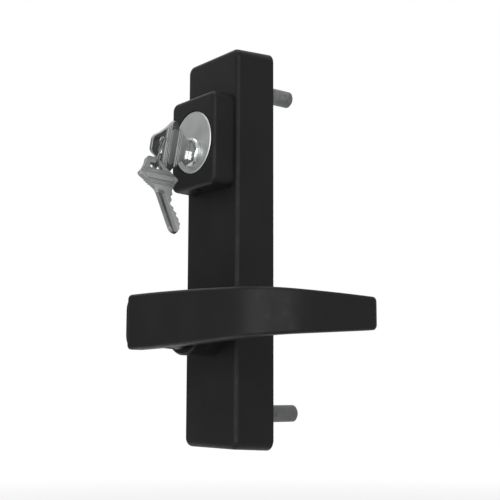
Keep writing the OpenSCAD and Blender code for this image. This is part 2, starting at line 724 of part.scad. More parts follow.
// One cross-section: a rounded rectangle behind the front face
front_edge = 1;
back_edge = 2.4;
end_round = 3.4;       // rounding of the bar's end at the hub
tip_round = 1.4;       // rounding of the leg's tip
function round_off(s, r) = s >= r ? 0 : r - sqrt(pow(r, 2) - pow(r - s, 2));
function edge_cut(s) = round_off(s, end_round) + round_off(lever_len - s, tip_round);
function section_pts(w, h, rf, rb) = concat(
    [for (k = [0:4]) let (a = 180 + 22.5 * k) [rf + rf * cos(a), -h / 2 + rf + rf * sin(a)]],
    [for (k = [0:4]) let (a = 270 + 22.5 * k) [w - rb + rb * cos(a), -h / 2 + rb + rb * sin(a)]],
    [for (k = [0:4]) let (a = 22.5 * k) [w - rb + rb * cos(a), h / 2 - rb + rb * sin(a)]],
    [for (k = [0:4]) let (a = 90 + 22.5 * k) [rf + rf * cos(a), h / 2 - rf + rf * sin(a)]]);
lever_stations = concat([for (a = [0:18:90]) end_round * (1 - cos(a)) + 0.02], [10, 22, 40, 58, 74],
    [for (k = [0:9]) lever_back + lever_bar + bend_arc * k / 9],
    [for (k = [1:4]) lever_back + lever_bar + bend_arc + (return_len - tip_round) * k / 4],
    [for (a = [30:30:90]) lever_len - tip_round + tip_round * sin(a) - 0.02]);
module lever_bar_loft() {
    rings = [for (s = lever_stations)
        let (t = s / lever_len, cut = edge_cut(s), inset = min(cut, 1), p = bar_point(s), d = bar_dir(s),
            h = lever_h_hub + (lever_h_tip - lever_h_hub) * t - 2 * cut,
            w = lever_t_hub + (lever_t_tip - lever_t_hub) * t - 2 * inset)
        [for (q = section_pts(w, h, front_edge, back_edge)) let (e = q[0] + inset)
            [p[0] - e * sin(d), p[1] + e * cos(d), q[1]]]];
    n = len(rings);
    m = len(rings[0]);
    polyhedron([for (ring = rings) each ring], concat(
        [[for (k = [0:m - 1]) k]],
        [for (i = [0:n - 2]) for (k = [0:m - 1]) let (j = (k + 1) % m, a = i * m, b = a + m)
            each [[a + k, b + k, b + j], [a + k, b + j, a + j]]],
        [[for (k = [m - 1:-1:0]) (n - 1) * m + k]]));
}

module lever_neck() {
    hull() {
        rod(neck_r, y_neck, y_neck - 1.5, 64);
        intersection() {
            translate([-lever_back + 1.2, y_lever + 2, -lever_h_hub / 2 + 0.6])
                cube([lever_back + 15, lever_t_hub - 3, lever_h_hub - 1.6]);
            rod(lever_back + 1, y_neck, y_lever, 64);
        }
    }
}

module lever_handle() {
    color([0.17, 0.17, 0.17]) about_lever() difference() {
        union() {
            lever_bar_loft();
            lever_neck();
        }
        rod(spigot_r + snug, y_neck + 1, y_spigot - fit);
        translate([0, set_y, -20]) cylinder(r = set_r + snug, h = 18, $fn = 48);
    }
}

module lever_spindle() {
    color([0.6, 0.6, 0.6]) about_lever() difference() {
        union() {
            turned([[0, y_square], [groove_r, y_square], [groove_r, y_ring], [journal_r, y_ring],
                [journal_r, y_neck], [spigot_r, y_neck], [spigot_r, y_spigot + 0.5],
                [spigot_r - 0.5, y_spigot], [0, y_spigot]], 96);
            intersection() {
                translate([-square_s / 2, y_square - eps, -square_s / 2])
                    cube([square_s, y_slide - y_square + eps, square_s]);
                rod(square_s * 0.66, 0, y_square - 1, 64);
            }
            rod(3.5, -0.2, y_slide - eps);
        }
        translate([-5, set_y - 3, -set_flat - 2]) cube([10, 6, 2]);
    }
}

module lever_set_screw() {
    color([0.3, 0.3, 0.31]) about_lever() translate([0, set_y, -set_flat - set_len]) difference() {
        rotate_extrude($fn = 48)
            polygon([[0, 0], [set_r, 0], [set_r, set_len - 0.8], [set_r - 0.8, set_len], [0, set_len]]);
        translate([0, 0, -0.8]) cylinder(r = 1.45, h = 3.2, $fn = 6);
    }
}

// Open retaining ring with two eyes, in the groove behind the thrust washer
module retaining_ring() {
    color([0.4, 0.4, 0.42]) about_lever() sheet(y_ring + ring_t - 0.05, y_ring + 0.05) difference() {
        union() {
            circle(r = journal_r + 1.2, $fn = bore_fn);
            for (s = [-1, 1]) translate([s * 2.6, journal_r + 0.9]) circle(r = 1.7, $fn = 32);
        }
        circle(r = groove_r + snug, $fn = bore_fn);
        for (s = [-1, 1]) translate([s * 2.6, journal_r + 1.3]) circle(r = 0.7, $fn = 24);
        translate([-1, journal_r - 3]) square([2, 8]);
    }
}

module drive_pinion() {
    hole = square_s / 2 + fit;
    color([0.66, 0.66, 0.68]) about_lever() difference() {
        union() {
            rotate([0, 180 / drive_teeth * (drive_teeth % 2), 0]) sheet(y_slide, y_slide_front)
                pinion_outline(drive_module, drive_teeth);
            rod(drive_r - rack_add(drive_module, drive_r) - 0.5, y_slide_front + eps, y_flange - eps);
            rod(flange_r, y_flange, y_flange - flange_t);
            rod(hub_r, y_flange, y_square + 0.1);
        }
        intersection() {
            translate([-hole, y_square - 2, -hole]) cube([2 * hole, y_slide - y_square + 3, 2 * hole]);
            rod(square_s * 0.66 + fit, 0, y_square - 2, 64);
        }
        translate([spring_point(tang_a, 0)[0], 0, spring_point(tang_a, 0)[2]])
            rod(spring_wire + 0.25, y_flange + 1, y_flange - flange_t - 1, 24);
    }
}

// Slides

module lift_outline() {
    difference() {
        union() {
            translate([lift_left, -17]) square([lift_bar - lift_left, lift_top + 17]);
            translate([lift_left, lug_z - 9]) square([lift_right - lift_left, lift_top - lug_z + 9]);
            translate([lift_bar - 1, lug_z - 14]) square([6, 6]);
            intersection() {
                translate([0, 0]) rack_teeth(drive_module, drive_r, lift_bar, -4, 1);
                translate([lift_left, -16.5]) square([20, 28]);
            }
        }
        translate([lift_bar + 5, lug_z - 14]) circle(r = 5, $fn = 48);
        for (p = lift_guides) translate([p[0], 0])
            slot(guide_r + fit, p[1] - drive_travel - 0.3, p[1] + 0.3);
        translate([0, lug_z]) circle(r = 2 + snug, $fn = 48);
        translate([lift_right, lug_z - 9]) rotate(45) square([4, 4], center = true);
    }
}

module lift_slide() {
    color([0.64, 0.65, 0.68]) about_lever() sheet(y_slide, y_slide_front) lift_outline();
}

module drive_lug() {
    color([0.6, 0.6, 0.62]) about_lever() translate([0, 0, lug_z]) difference() {
        union() {
            sheet(lug_out, y_slide) round_rect(lug_w, lug_h, 1);
            rod(2, y_slide + eps, y_slide_front - 0.05, 48);
            turned([[0, y_slide_front], [3.2, y_slide_front], [3.2, y_slide_front - 0.4],
                [2.2, y_slide_front - 1.1], [0, y_slide_front - 1.1]], 48);
        }
        translate([-lug_w, lug_out - 5, -1.6]) cube([2 * lug_w, 6, 3.2]);
    }
}

module lock_outline() {
    difference() {
        union() {
            translate([lock_left, lock_bottom]) square([lock_w, lock_top - lock_bottom]);
            intersection() {
                translate([0, plug_z]) mirror([1, 0]) rack_teeth(lock_module, lock_r, -lock_left, -2, 4);
                translate([0, plug_z - 5.5]) square([20, 17.5]);
            }
        }
        for (p = lock_guides) translate([p[0], 0])
            slot(guide_r + fit, p[1] - 0.3, p[1] + lock_travel + 0.3);
        translate([lock_left + lock_w, lock_bottom]) rotate(45) square([2.4, 2.4], center = true);
    }
}

module lock_slide() {
    color([0.7, 0.68, 0.6]) about_lever() translate([0, 0, -lock_r * key_turn * PI / 180]) {
        sheet(y_slide, y_slide_front) lock_outline();
        translate([lock_x, 0, tab_z + tab_h / 2]) sheet(tab_out, y_slide - eps) round_rect(tab_w, tab_h, 0.6);
    }
}

// Keys: the shoulder is at the origin, the blade runs to +Y and the cuts face +Z

bow_hole_u = 5.4;      // distance from the bow's end to the slot's middle
bow_axis = 0.9;        // middle of the bow above the plug's axis
band_u = 11;           // distance from the bow's end to the middle of its band
blade_mid = blade_top - blade_h / 2 - bow_axis;
band_w = 8.4;          // width of the raised band across the bow
bow_half = bow_w / 2;
bow_side = [[0, 2.6], [1, 4], [3.7, 5.6], [7.2, 8.6], [9.2, bow_half - 0.7], [10, bow_half],
    [11.2, bow_half - 0.2], [12.2, bow_half - 1.7], [bow_len - 2.4, 4.7], [bow_len, 4.4]];

module bow_outline() {
    offset(r = 0.9, $fn = 24) offset(delta = -0.9) polygon(concat(
        [for (p = bow_side) [p[0] - bow_len, p[1]]],
        [for (k = [len(bow_side) - 1:-1:0]) [bow_side[k][0] - bow_len, -bow_side[k][1]]]));
}

module band_outline(w, shrink) {
    intersection() {
        offset(delta = -shrink) bow_outline();
        translate([band_u - bow_len - w / 2, -bow_w]) square([w, 2 * bow_w]);
    }
}

// A flat piece of the key, extruded to both sides of its middle plane
module key_layer(t) {
    rotate([90, 0, 90]) translate([0, 0, -t / 2]) linear_extrude(t) children();
}

module key_cut(i) {
    y = first_pin + i * pin_pitch;
    top = blade_top - bow_axis;
    depth = top - cut_depth(i);
    half = cut_flat / 2;
    rotate([90, 0, 90]) translate([0, 0, -key_t]) linear_extrude(2 * key_t)
        polygon([[y - half, depth], [y + half, depth], [y + half + 4, depth + 4],
            [y - half - 4, depth + 4]]);
}

module key_blade() {
    tip = 2.6;
    half = blade_h / 2;
    difference() {
        intersection() {
            translate([0, 0, -bow_axis]) sheet(blade_len, -0.5) keyway_outline(0);
            key_layer(2 * key_t) translate([0, blade_mid]) polygon([[-1, -half], [blade_len - tip, -half],
                [blade_len, -half + tip], [blade_len, -half + tip + 1], [blade_len - 3.4, half],
                [-1, half]]);
        }
        for (i = [0:len(key_bits) - 1]) key_cut(i);
    }
}

// Slot across the bow, round at both ends
module bow_slot() {
    half = (bow_slot_len - bow_slot_w) / 2;
    for (s = [-1, 1]) translate([0, 0, s * half]) rotate([0, 90, 0])
        cylinder(r = bow_slot_w / 2, h = 3 * key_t, center = true, $fn = bore_fn);
    cube([3 * key_t, bow_slot_w, 2 * half], center = true);
}

module key() {
    difference() {
        union() {
            key_layer(key_t) bow_outline();
            key_layer(key_t + 0.9) difference() {
                band_outline(band_w, 0.5);
                for (s = [-1, 1]) for (d = [2, 3.1]) translate([band_u - bow_len + s * d, 0])
                    square([0.4, 2 * bow_w], center = true);
            }
            key_blade();
        }
        for (s = [-1, 1]) translate([s * (key_t / 2 + 0.45), band_u - bow_len, 0]) rotate([0, 90, 0])
            linear_extrude(0.5, center = true) hull() for (z = [-8, 8]) translate([z, 0])
                circle(r = 1.25, $fn = 32);
        translate([0, bow_hole_u - bow_len, 0]) bow_slot();
    }
}

module inserted_key() {
    color([0.7, 0.71, 0.71]) about_lever() with_plug() translate([0, y_nose, plug_z + bow_axis]) key();
}

// The split ring passes through both keys' slots: two turns of wire side by side that cross over once
ring_yaw = -24;
ring_tilt = 14.6;      // the two keys hold the ring this far off the vertical
ring_lean = -11.4;
ring_seat = 1.0;      // gap between the ring and the end of the inserted key's slot
ring_pair = ring_wire_r + snug;
hole_y = y_nose - bow_len + bow_hole_u;
hook_rise = bow_axis + bow_slot_len / 2 - ring_wire_r - ring_seat;
hook = [hook_rise * sin(key_turn), hole_y, plug_z + hook_rise * cos(key_turn)];

module hang_from_key() {
    translate(hook) rotate([0, 0, ring_yaw]) rotate([-ring_tilt, 0, 0])
        rotate([0, ring_lean, 0]) children();
}

function ring_side(a) = ring_pair * (a < 360 ? -1 : 1) * min(1, abs(a - 360) / 22);
module split_ring() {
    step = 360 / 48;
    color([0.75, 0.76, 0.76]) about_lever() hang_from_key() translate([0, 0, -ring_r])
        wire([for (k = [4:92]) let (a = k * step)
            [[ring_r * cos(a), ring_side(a), ring_r * sin(a)], [0, 1, 0]]], ring_wire_r, 8);
}

// The spare key hangs from the bottom of the ring with its blade down
spare_yaw = 12;

module spare_key() {
    color([0.7, 0.71, 0.71]) about_lever() hang_from_key() translate([0, 0, -2 * ring_r])
        rotate([0, -ring_lean, 0]) rotate([ring_tilt, 0, 0]) rotate([0, 0, spare_yaw - ring_yaw])
        rotate([0, -spare_lean, 0]) rotate([-90, 0, 0]) translate([0, bow_len - bow_hole_u, 0]) key();
}

escutcheon_cover();
cylinder_block();
block_screws();
back_plate();
plate_screws();
upper_post();
lower_post();
hub_collar();
collar_nut();
spindle_bush();
thrust_washer();
guide_pins();
return_spring();
cylinder_shell();
chamber_cover();
driver_pins();
pin_springs();
cylinder_set_screw();
lever_handle();
lever_spindle();
lever_set_screw();
retaining_ring();
drive_pinion();
lift_slide();
drive_lug();
lock_slide();
plug();
key_pins();
plug_cam();
cam_screws();
inserted_key();
split_ring();
spare_key();
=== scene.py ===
"""Visual model of an exit device trim: escutcheon, keyed cylinder, lever and mounting posts."""
import logging
import math
from dataclasses import dataclass, field, replace
from enum import Enum
from typing import Sequence, Union

import bmesh
import bpy
from mathutils import Matrix, Vector


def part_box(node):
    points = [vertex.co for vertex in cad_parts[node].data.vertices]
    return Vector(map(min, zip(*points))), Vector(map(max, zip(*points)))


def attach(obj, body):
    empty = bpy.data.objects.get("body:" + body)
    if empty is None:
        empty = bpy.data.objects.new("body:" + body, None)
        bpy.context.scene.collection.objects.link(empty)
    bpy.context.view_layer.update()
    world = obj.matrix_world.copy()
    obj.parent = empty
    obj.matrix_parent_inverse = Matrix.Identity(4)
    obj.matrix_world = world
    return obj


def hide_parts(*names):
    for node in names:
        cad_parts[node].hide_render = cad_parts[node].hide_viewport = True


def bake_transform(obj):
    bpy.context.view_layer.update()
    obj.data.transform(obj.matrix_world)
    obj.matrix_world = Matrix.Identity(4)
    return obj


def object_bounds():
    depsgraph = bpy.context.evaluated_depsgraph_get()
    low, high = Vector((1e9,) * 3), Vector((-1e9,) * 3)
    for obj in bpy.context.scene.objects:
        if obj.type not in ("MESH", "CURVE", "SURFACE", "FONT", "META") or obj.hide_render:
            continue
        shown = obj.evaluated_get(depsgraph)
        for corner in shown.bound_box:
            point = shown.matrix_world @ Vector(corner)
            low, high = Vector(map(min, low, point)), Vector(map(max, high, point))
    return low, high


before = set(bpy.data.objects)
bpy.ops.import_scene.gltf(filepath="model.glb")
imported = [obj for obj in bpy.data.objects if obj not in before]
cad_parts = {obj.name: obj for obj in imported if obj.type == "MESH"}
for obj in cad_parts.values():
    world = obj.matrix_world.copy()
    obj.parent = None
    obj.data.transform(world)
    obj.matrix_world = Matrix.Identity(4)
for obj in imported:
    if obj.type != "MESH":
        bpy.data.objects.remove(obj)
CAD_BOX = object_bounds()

LOG = logging.getLogger("exit_device_trim")
MM = 0.001
WELD_MM = 0.002
CAD_SHARP_DEG = 32.0
MADE_SHARP_DEG = 38.0
CORNER_SHARE = 0.45
DRILL_SIDES = 48
EDGE_ROUND = 2
WIRE_ROUND = 4
TINY = 1e-9

Value = Union[float, Sequence[float], "Wire"]
Point = tuple[float, float, float]
Span = tuple[float, float]
Loop = list[tuple[float, float]]


# Shader building

class Wire:
    """An output socket that takes part in Python arithmetic."""

    def __init__(self, graph: "Graph", socket: bpy.types.NodeSocket) -> None:
        """Wraps a socket.

        Args:
            graph: The graph that holds the socket's node.
            socket: The output socket.
        """
        self.graph = graph
        self.socket = socket

    def math(self, operation: str, *others: Value, first: bool = True) -> "Wire":
        """Adds a Math node on this socket.

        Args:
            operation: The Math node's operation.
            others: Its further inputs.
            first: Whether this socket is the first input, ahead of the others.

        Returns:
            The node's output.
        """
        inputs = [self, *others] if first else [*others, self]
        return self.graph.add("ShaderNodeMath", {"operation": operation}, dict(enumerate(inputs)))

    def __add__(self, other: Value) -> "Wire":
        """Returns self + other."""
        return self.math("ADD", other)

    __radd__ = __add__

    def __sub__(self, other: Value) -> "Wire":
        """Returns self - other."""
        return self.math("SUBTRACT", other)

    def __rsub__(self, other: Value) -> "Wire":
        """Returns other - self."""
        return self.math("SUBTRACT", other, first=False)

    def __mul__(self, other: Value) -> "Wire":
        """Returns self * other."""
        return self.math("MULTIPLY", other)

    def __pow__(self, other: Value) -> "Wire":
        """Returns self ** other."""
        return self.math("POWER", other)

    def __abs__(self) -> "Wire":
        """Returns abs(self)."""
        return self.math("ABSOLUTE")

    def __or__(self, other: Value) -> "Wire":
        """Returns the larger of two masks."""
        return self.math("MAXIMUM", other)

    def swing(self, amount: float) -> "Wire":
        """Turns a noise about 0.5 into a swing about 0."""
        return (self - 0.5) * amount

    def step_mm(self, low: float, high: float) -> "Wire":
        """Returns a smooth step between two places in millimetres."""
        return self.step(low * MM, high * MM)

    def within_mm(self, low: float, high: float, soft: float) -> "Wire":
        """Returns 1 between two places in millimetres and 0 outside, with soft borders."""
        return self.step_mm(low - soft, low + soft) * (1.0 - self.step_mm(high - soft, high + soft))

    def step(self, low: float, high: float) -> "Wire":
        """Rises smoothly from 0 to 1.

        Args:
            low: The value at which the result is 0.
            high: The value at which the result is 1.

        Returns:
            The smoothed step.
        """
        values = {0: self, 1: low, 2: high, 3: 0.0, 4: 1.0}
        return self.graph.add("ShaderNodeMapRange", {"interpolation_type": "SMOOTHSTEP"}, values)


class Graph:
    """The node tree of one material or world."""

    def __init__(self, owner: bpy.types.Material | bpy.types.World) -> None:
        """Empties the owner's tree.

        Args:
            owner: The material or world.
        """
        self.owner = owner
        owner.use_nodes = True
        self.tree = owner.node_tree
        self.tree.nodes.clear()

    def add(self, kind: str, settings: dict[str, object] | None = None,
            values: dict[int | str, Value] | None = None, out: int | str = 0) -> Wire | None:
        """Adds a node.

        Args:
            kind: The node's type.
            settings: Its attributes, set before its sockets.
            values: Numbers, colours or wires for its input sockets.
            out: The output that is returned.

        Returns:
            The chosen output, or None for a node that ends the tree.
        """
        node = self.tree.nodes.new(kind)
        for key, setting in (settings or {}).items():
            setattr(node, key, setting)
        for key, value in (values or {}).items():
            if isinstance(value, Wire):
                self.tree.links.new(value.socket, node.inputs[key])
            else:
                node.inputs[key].default_value = value
        return Wire(self, node.outputs[out]) if node.outputs else None

    def place(self) -> Wire:
        """Returns the position in the object's own frame, in metres."""
        return self.add("ShaderNodeTexCoord", out="Object")

    def facing(self) -> Wire:
        """Returns the surface normal in the object's own frame."""
        return self.add("ShaderNodeTexCoord", out="Normal")

    def seen(self) -> Wire:
        """Tells rays that show a surface from rays that only carry its light.

        Returns:
            1 for rays from the camera, a reflection or glass, and 0 for the rest.
        """
        shown = self.add("ShaderNodeLightPath", out="Is Camera Ray")
        for ray in ("Is Glossy Ray", "Is Transmission Ray"):
            shown = shown | self.add("ShaderNodeLightPath", out=ray)
        return shown

    def axes(self, vector: Wire) -> tuple[Wire, Wire, Wire]:
        """Splits a vector.

        Args:
            vector: The vector.

        Returns:
            Its three parts.
        """
        return tuple(self.add("ShaderNodeSeparateXYZ", None, {0: vector}, i) for i in range(3))

    def noise(self, size_mm: float, detail: float, stretch: Point = (1.0, 1.0, 1.0)) -> Wire:
        """Adds a noise whose features have a size in millimetres.

        Args:
            size_mm: The size of a feature.
            detail: The number of finer layers.
            stretch: Factors that make the features longer along each axis.

        Returns:
            Noise about 0.5.
        """
        scale = tuple(1.0 / s for s in stretch)
        moved = self.add("ShaderNodeVectorMath", {"operation": "MULTIPLY"},
                         {0: self.place(), 1: scale})
        return self.add("ShaderNodeTexNoise", None,
                        {"Vector": moved, "Scale": 1.0 / (size_mm * MM), "Detail": detail}, "Fac")

    def mix(self, factor: Value, low: Value, high: Value) -> Wire:
        """Mixes two colours.

        Args:
            factor: 0 for the first colour, 1 for the second.
            low: The first colour.
            high: The second colour.

        Returns:
            The mixed colour.
        """
        return self.add("ShaderNodeMix", {"data_type": "RGBA"},
                        {"Factor": factor, 6: low, 7: high}, 2)

    def bump(self, height: Wire, depth_mm: float, strength: float = 1.0,
             under: Wire | None = None) -> Wire:
        """Turns a height into a normal.

        Args:
            height: The height, as a share of the depth.
            depth_mm: The depth of the relief.
            strength: The bump's strength.
            under: A coarser normal that this one lies on.

        Returns:
            The normal.
        """
        values = {"Height": height, "Distance": depth_mm * MM, "Strength": strength}
        if under is not None:
            values["Normal"] = under
        return self.add("ShaderNodeBump", None, values)

    def surface(self, colour: Wire, roughness: Wire, normal: Wire, metallic: float = 0.0,
                specular: float = 0.5) -> bpy.types.Material:
        """Ends the tree in a Principled BSDF.

        Args:
            colour: The base colour.
            roughness: The roughness.
            normal: The shading normal.
            metallic: 1 for bare metal.
            specular: The strength of the clear reflection.

        Returns:
            The finished material.
        """
        shader = self.add("ShaderNodeBsdfPrincipled", None, {
            "Base Color": colour, "Roughness": roughness, "Metallic": metallic,
            "Specular IOR Level": specular, "Normal": normal})
        self.add("ShaderNodeOutputMaterial", None, {"Surface": shader})
        return self.owner


def new_graph(name: str) -> Graph:
    """Returns the empty graph of a new material."""
    return Graph(bpy.data.materials.new(name))


def rgba(grey: float, warm: float = 0.0) -> tuple[float, float, float, float]:
    """Makes a near-grey colour.

    Args:
        grey: The linear level.
        warm: A share by which red rises and blue falls, or red alone falls where it is negative.

    Returns:
        The colour.
    """
    return (grey * (1 + warm), grey, grey * (1 - max(warm, 0.0)), 1.0)


class Grain(Enum):
    """The way a metal surface was worked."""

    TURNED = "turned"
    TUMBLED = "tumbled"
    ROLLED = "rolled"


@dataclass(frozen=True)
class Enamel:
    """Satin black stoving enamel on cast metal."""

    name: str
    level: float = 0.0094
    roughness: float = 0.40
    specular: float = 0.115
    peel_mm: float = 1.1
    peel_depth_mm: float = 0.012
    broad_mm: float = 28.0
    broad_cover: Span = (0.3, 0.7)
    broad_tones: Span = (0.9, 1.15)
    broad_rough: float = 0.12
    grain_mm: float = 0.35
    grain_rough: float = 0.10
    grain_relief: Span = (0.12, 0.6)
    edge_turn: Span = (0.80, 0.985)
    wear_mm: float = 5.0
    wear_cover: Span = (0.45, 0.75)
    wear_share: float = 0.5
    wear_tone: float = 2.6
    wear_warm: float = 0.04
    wear_rough: float = 0.10
    grip_mm: Span | None = None
    grip_soft_mm: float = 12.0
    shine_mm: float = 14.0
    shine_cover: Span = (0.42, 0.72)
    shine_rough: float = 0.07

    def make(self) -> bpy.types.Material:
        """Builds the enamel's material.

        Returns:
            The material.
        """
        graph = new_graph(self.name)
        broad = graph.noise(self.broad_mm, 3.0)
        grain = graph.noise(self.grain_mm, 2.0)
        nx, ny, nz = (abs(part) for part in graph.axes(graph.facing()))
        edge = 1.0 - (nx | ny | nz).step(*self.edge_turn)
        worn = edge * graph.noise(self.wear_mm, 4.0).step(*self.wear_cover)
        dark, pale = (rgba(self.level * tone) for tone in self.broad_tones)
        colour = graph.mix(broad.step(*self.broad_cover), dark, pale)
        bare = rgba(self.level * self.wear_tone, self.wear_warm)
        colour = graph.mix(worn * self.wear_share, colour, bare)
        rough = (self.roughness + grain.swing(self.grain_rough) + broad.swing(self.broad_rough)
                 - worn * self.wear_rough)
        if self.grip_mm is not None:
            held = graph.axes(graph.place())[0].within_mm(*self.grip_mm, self.grip_soft_mm)
            shiny = graph.noise(self.shine_mm, 5.0).step(*self.shine_cover)
            rough = rough - held * shiny * self.shine_rough
        peel = graph.bump(graph.noise(self.peel_mm, 1.5), self.peel_depth_mm)
        share, strength = self.grain_relief
        normal = graph.bump(grain, self.peel_depth_mm * share, strength, peel)
        return graph.surface(colour, rough, normal, specular=self.specular)


@dataclass(frozen=True)
class Plated:
    """Nickel, zinc or bare metal with the marks of how it was worked, and tarnish, which on the polished
    nose and its lip is painted dark reflection.
    """

    name: str
    level: float
    warm: float
    roughness: float
    grain: Grain
    grain_mm: float
    grain_depth_mm: float
    tarnish_and_dark_reflection: float
    centre: Point = (0.0, 0.0, 0.0)
    wave_mm: float = 0.0
    wave_depth_mm: float = 0.0
    shaded_end_mm: Span | None = None
    shaded_end_tone: float = 0.8
    grain_rough: float = 0.16
    rolled_len: float = 30.0
    cloud_mm: float = 6.0
    cloud_cover: Span = (0.35, 0.7)
    cloud_shade: float = 0.18
    cloud_rough: float = 0.12
    spot_mm: float = 1.6
    spot_cover: Span = (0.58, 0.76)
    spot_tone: float = 0.6
    spot_rough: float = 0.10

    def marks(self, graph: Graph) -> Wire:
        """Draws the marks of the surface's working.

        Args:
            graph: The material's graph.

        Returns:
            The marks' height.
        """
        if self.grain is Grain.TURNED:
            x, _, z = graph.axes(graph.place())
            radius = ((x - self.centre[0]) ** 2.0 + (z - self.centre[2]) ** 2.0) ** 0.5
            return graph.add("ShaderNodeTexNoise", {"noise_dimensions": "1D"},
                             {"W": radius, "Scale": 1.0 / (self.grain_mm * MM), "Detail": 3.0}, "Fac")
        if self.grain is Grain.ROLLED:
            return graph.noise(self.grain_mm, 3.0, (1.0, 1.0, self.rolled_len))
        return graph.noise(self.grain_mm, 4.0)

    def make(self) -> bpy.types.Material:
        """Builds the metal's material.

        Returns:
            The material.
        """
        graph = new_graph(self.name)
        marks = self.marks(graph)
        # Tarnish clouds and spots darken the colour; on the polished nose and its lip they are painted dark
        # reflections.
        cloud = graph.noise(self.cloud_mm, 4.0)
        spots = graph.noise(self.spot_mm, 3.0).step(*self.spot_cover)
        cloudy = rgba(self.level * (1 - self.cloud_shade * self.tarnish_and_dark_reflection), self.warm)
        colour = graph.mix(cloud.step(*self.cloud_cover), cloudy, rgba(self.level, self.warm))
        colour = graph.mix(spots * self.tarnish_and_dark_reflection, colour, rgba(self.level * self.spot_tone, self.warm))
        # Painted shade: the colour darkens towards one end along Y.
        if self.shaded_end_mm is not None:
            shaded_end = graph.axes(graph.place())[1].step_mm(*self.shaded_end_mm)
            colour = graph.mix(shaded_end, colour, rgba(self.level * self.shaded_end_tone, self.warm))
        rough = (self.roughness + marks.swing(self.grain_rough) + cloud.swing(self.cloud_rough)
                 + spots * self.spot_rough * self.tarnish_and_dark_reflection)
        wave = graph.bump(graph.noise(self.wave_mm, 1.0), self.wave_depth_mm) if self.wave_mm else None
        normal = graph.bump(marks, self.grain_depth_mm, under=wave)
        return graph.surface(colour, rough, normal, metallic=1.0)


@dataclass(frozen=True)
class KeyNickel:
    """Nickel plate on a stamped key, with the tone of each of its zones; the zones other than the face carry
    painted light and shade.
    """

    name: str
    face: float
    head_reflection: float
    side: float
    channel_shade: float
    pad: float
    scoop: float
    scoop_wall: float
    roughness: float = 0.34
    cool: float = -0.02
    cool_face: float = -0.03
    head_end_mm: Span = (-14.1, -12.9)
    flat_turn: Span = (0.75, 0.95)
    band_y_mm: float = -8.8
    pad_edge_mm: Span = (1.6, 1.9)
    channel_x_mm: Span = (1.22, 1.28)
    scoop_x_mm: Span = (0.1, 0.3)
    scoop_y_mm: Span = (-2.2, -1.2)
    scoop_z_mm: Span = (-4.4, -0.6)
    scoop_soft_mm: float = 0.15
    scoop_rough: float = 0.12
    brush_mm: float = 0.16
    brush_len: float = 24.0
    brush_rough: float = 0.2
    cloud_mm: float = 5.0
    cloud_cover: Span = (0.4, 0.75)
    cloud_share: float = 0.22
    cloud_tone: float = 0.6
    cloud_rough: float = 0.12
    nick_mm: float = 0.8
    nick_len: float = 5.0
    nick_cover: Span = (0.66, 0.74)
    nick_share: float = 0.25
    nick_tone: float = 1.4
    nick_height: float = 0.8
    brush_relief: Span = (0.004, 0.8)
    cloud_relief: Span = (0.02, 0.5)

    def zones(self, graph: Graph) -> tuple[Wire, Wire]:
        """Colours the key's zones in its own frame: Y along the blade, Z up it, painting reflection, shade
        and highlight into them.

        Args:
            graph: The material's graph.

        Returns:
            The colour, and the mask of the milled scoop.
        """
        x, y, z = graph.axes(graph.place())
        flat = abs(graph.axes(graph.facing())[0]).step(*self.flat_turn)
        # Painted dark reflection: the flat faces of the bow's head take their own tone.
        head_reflection = (1.0 - y.step_mm(*self.head_end_mm)) * flat
        colour = graph.mix(head_reflection, rgba(self.face, self.cool_face), rgba(self.head_reflection, self.cool))
        # Painted light and shade: faces turned sideways take a lighter or darker tone than the flat faces.
        colour = graph.mix(1.0 - flat, colour, rgba(self.side, self.cool))
        # Painted shade: the pad takes a darker tone than the face, and the low channel round it a darker one
        # still.
        lane = (1.0 - abs(y - self.band_y_mm * MM).step_mm(*self.pad_edge_mm)) * flat
        low = lane * (1.0 - abs(x).step_mm(*self.channel_x_mm))
        colour = graph.mix(lane, colour, rgba(self.pad, self.cool_face))
        colour = graph.mix(low, colour, rgba(self.channel_shade, self.cool))
        # Painted light in the milled scoop: shade on the spare key, a near-white painted highlight on the
        # carried key.
        scoop = (z.within_mm(*self.scoop_z_mm, self.scoop_soft_mm) * y.step_mm(*self.scoop_y_mm)
                 * x.step_mm(*self.scoop_x_mm))
        depth = z.step_mm(*self.scoop_z_mm)
        tone = graph.mix(depth, rgba(self.scoop, self.cool), rgba(self.scoop_wall, self.cool))
        return graph.mix(scoop, colour, tone), scoop

    def make(self) -> bpy.types.Material:
        """Builds the key's material.

        Returns:
            The material.
        """
        graph = new_graph(self.name)
        colour, scoop = self.zones(graph)
        brushed = graph.noise(self.brush_mm, 3.0, (1.0, self.brush_len, 1.0))
        cloud = graph.noise(self.cloud_mm, 4.0)
        nicks = graph.noise(self.nick_mm, 2.0, (1.0, self.nick_len, 1.0)).step(*self.nick_cover)
        cloudy = cloud.step(*self.cloud_cover) * self.cloud_share
        colour = graph.mix(cloudy, colour, rgba(self.face * self.cloud_tone, self.cool))
        colour = graph.mix(nicks * self.nick_share, colour, rgba(self.face * self.nick_tone, self.cool))
        rough = (self.roughness + brushed.swing(self.brush_rough) + cloud.swing(self.cloud_rough)
                 - scoop * self.scoop_rough)
        under = graph.bump(cloud, *self.cloud_relief)
        normal = graph.bump(brushed + nicks * self.nick_height, *self.brush_relief, under)
        return graph.surface(colour, rough, normal, metallic=1.0)


Finish = Union[Enamel, Plated, KeyNickel]

PAINT = Enamel("satin_black_enamel")

